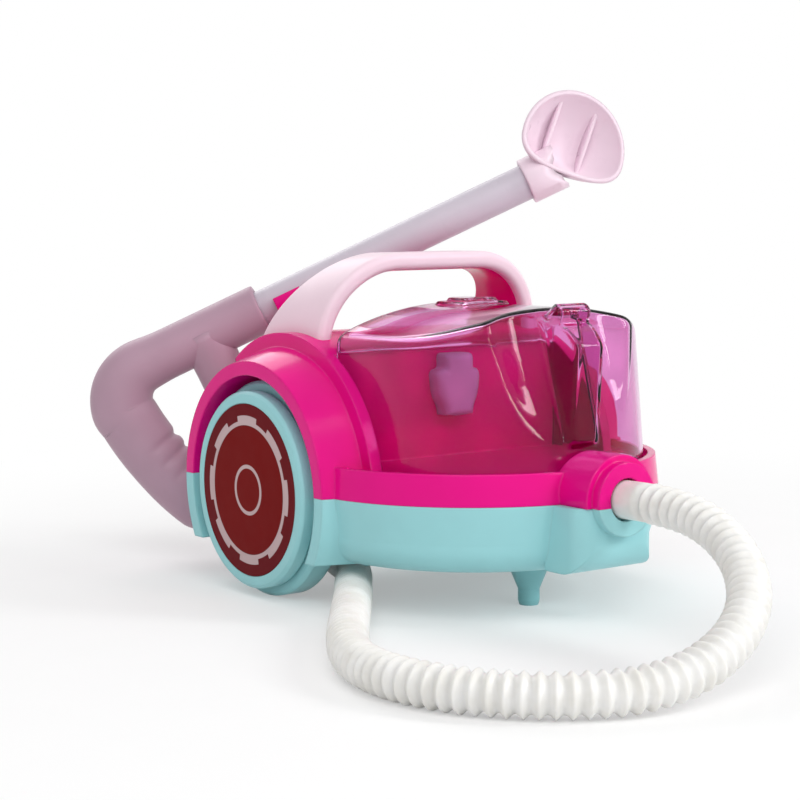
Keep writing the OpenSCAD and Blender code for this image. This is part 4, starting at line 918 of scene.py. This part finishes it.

# Each skin's second setting is the strength of the painted sheen on its edges.
magenta = moulded("magenta_plastic", MAGENTA,
                  Cloud=0.03, Rub=0.012, Roughness=0.16, Grain=0.05, Edge=0.0009)
aqua = moulded("aqua_plastic", AQUA, Cloud=0.03, Rub=0.02, Roughness=0.34, Grain=0.12, Edge=0.0009)
pale_pink = moulded("pale_pink_plastic", PALE_PINK,
                    Cloud=0.02, Rub=0.10, Roughness=0.32, Grain=0.14, Edge=0.0006)
white = moulded("white_plastic", WHITE,
                Cloud=0.03, Rub=0.05, Roughness=0.42, Grain=0.2, Edge=0.0005)
dark = moulded("dark_plastic", DARK, Cloud=0.06, Rub=0.15, Roughness=0.45, Grain=0.4, Edge=0.0004)
mauve = make_grip_skin()
lavender = moulded("lavender_plastic", LAVENDER,
                   Cloud=0.02, Rub=0.06, Roughness=0.30, Grain=0.12, Edge=0.0005)
lilac = moulded("lilac_plastic", LILAC,
                Cloud=0.03, Rub=0.08, Roughness=0.30, Grain=0.12, Edge=0.0004)
clear_magenta = make_clear("clear_magenta_plastic", COVER_TINT, rough=0.02, haze=0.04)
clear_lens = make_clear("clear_lens_plastic", LENS_TINT, rough=0.28, haze=0.12, clear=0.40)
milky = make_milky()
steel = make_steel()
jacket = make_jacket()

FINISHES = {
    "lower_shell": aqua, "upper_shell": magenta, "front_foot": aqua, "left_wheel": aqua,
    "right_wheel": aqua, "battery_door": aqua, "wand_clip": magenta, "lamp_lens": clear_lens,
    "lamp_led": white, "hose_spigot": white, "fan": white, "switch_body": dark,
    "switch_knob": dark, "wand_tube": lilac, "wheel_axle": steel, "wheel_screws": steel,
    "battery_door_screw": steel, "battery_contacts": steel, "case_screws": steel,
    "motor": steel, "grip_screws": steel, "battery_cells": jacket,
    "left_wheel_label": make_label("left"), "right_wheel_label": make_label("right"),
    "carry_handle": pale_pink, "handle_liner": magenta, "dust_cover": clear_magenta,
    "grip_left_half": mauve, "grip_right_half": mauve, "nozzle": lavender, "hose": milky,
}


def finish_piece(piece, material):
    """Gives a piece one finish."""
    piece.data.materials.clear()
    piece.data.materials.append(material)


for node, material in FINISHES.items():
    finish_piece(nodes[node], material)
for piece, material in ((hose, milky), (lens, clear_lens), (cover, clear_magenta),
                        (header, clear_magenta), (handle, pale_pink), (liner, magenta),
                        (grip, mauve), (branch, mauve), (scoop, lavender), (collar, lavender),
                        *((rib, lavender) for rib in scoop_ribs)):
    finish_piece(piece, material)


# ---- Floor and light

FLOOR_HALF, FLOOR_POINTS = 1600, 17
FLOOR_TONES = (0.90, 0.90, 0.90, 1), (0.93, 0.93, 0.93, 1)
# From the first distance to the second the floor goes over to plain white.
FLOOR_NEAR, FLOOR_FAR, FLOOR_GLOW = 0.14, 0.42, 0.35
EVEN_LIGHT = 0.46
TOY_MIDDLE = (0, 0.03, 0.05)


def seen_rays(tree):
    """One for a ray that the camera sends straight, by a mirror-like reflection or through a clear
    piece, and nothing for one that has met a dull surface on its way."""
    path = place(tree, "ShaderNodeLightPath")
    seen = maths(tree, "MAXIMUM", path.outputs["Is Camera Ray"], path.outputs["Is Glossy Ray"])
    seen = maths(tree, "MAXIMUM", seen, path.outputs["Is Transmission Ray"])
    undulled = maths(tree, "LESS_THAN", path.outputs["Diffuse Depth"], 0.5)
    return maths(tree, "MULTIPLY", seen, undulled)


def make_floor():
    """A wide pale floor that keeps the shadow near the toy and goes over to white further out."""
    side = np.linspace(-FLOOR_HALF, FLOOR_HALF, FLOOR_POINTS)
    x, y = np.meshgrid(side, side, indexing="ij")
    floor = grid_piece("floor", np.stack([x, y, 0 * x], -1))
    made, tree, shader = new_material("pale_floor", Roughness=0.9)
    where = on_piece(tree)
    grain = noise(tree, where, scale=40.0, detail=4.0)
    feed(tree, shader, Base_Color=blend_colour(tree, grain, *FLOOR_TONES))
    parts = place(tree, "ShaderNodeSeparateXYZ", {0: where})
    away = distance(tree, parts.outputs[0], parts.outputs[1])
    share = maths(tree, "MULTIPLY", seen_rays(tree),
                  fade(tree, away, FLOOR_NEAR, FLOOR_FAR, FLOOR_GLOW, 1.0))
    glow = place(tree, "ShaderNodeEmission", {"Color": (1, 1, 1, 1), "Strength": 1.0}).outputs[0]
    mixed = place(tree, "ShaderNodeMixShader", {0: share, 1: shader.outputs[0], 2: glow}).outputs[0]
    tree.links.new(mixed, tree.nodes["Material Output"].inputs[0])
    finish_piece(floor, made)


def make_light(name, place_at, aim, size, tall, power):
    """A soft light, so wide and so tall, that looks at a point."""
    data = bpy.data.lights.new(name, "AREA")
    data.shape, data.size, data.size_y, data.energy = "RECTANGLE", size, tall, power
    lamp = bpy.data.objects.new(name, data)
    lamp.location = place_at
    lamp.rotation_euler = (Vector(aim) - Vector(place_at)).to_track_quat("-Z", "Y").to_euler()
    bpy.context.scene.collection.objects.link(lamp)


def make_world():
    """White behind everything that is seen, mirrored or looked through, and a softer even light."""
    world = bpy.data.worlds.new("studio")
    world.use_nodes = True
    tree = world.node_tree
    lift = maths(tree, "MULTIPLY", seen_rays(tree), 1 - EVEN_LIGHT)
    ground = tree.nodes["Background"]
    ground.inputs["Color"].default_value = (1, 1, 1, 1)
    feed(tree, ground, Strength=maths(tree, "ADD", EVEN_LIGHT, lift))
    bpy.context.scene.world = world


make_floor()
make_world()
make_light("key_light", (-0.55, -0.75, 0.95), TOY_MIDDLE, size=1.0, tall=1.0, power=7.2)
make_light("fill_light", (0.67, -0.74, 0.66), TOY_MIDDLE, size=0.18, tall=0.38, power=4.2)
make_light("front_light", (0.20, -0.85, 0.27), (0, 0, 0.06), size=0.12, tall=0.12, power=1.0)
make_light("rear_light", (0.1, 0.95, 0.8), TOY_MIDDLE, size=0.7, tall=0.7, power=4.0)
bpy.context.scene.view_settings.view_transform = "Standard"
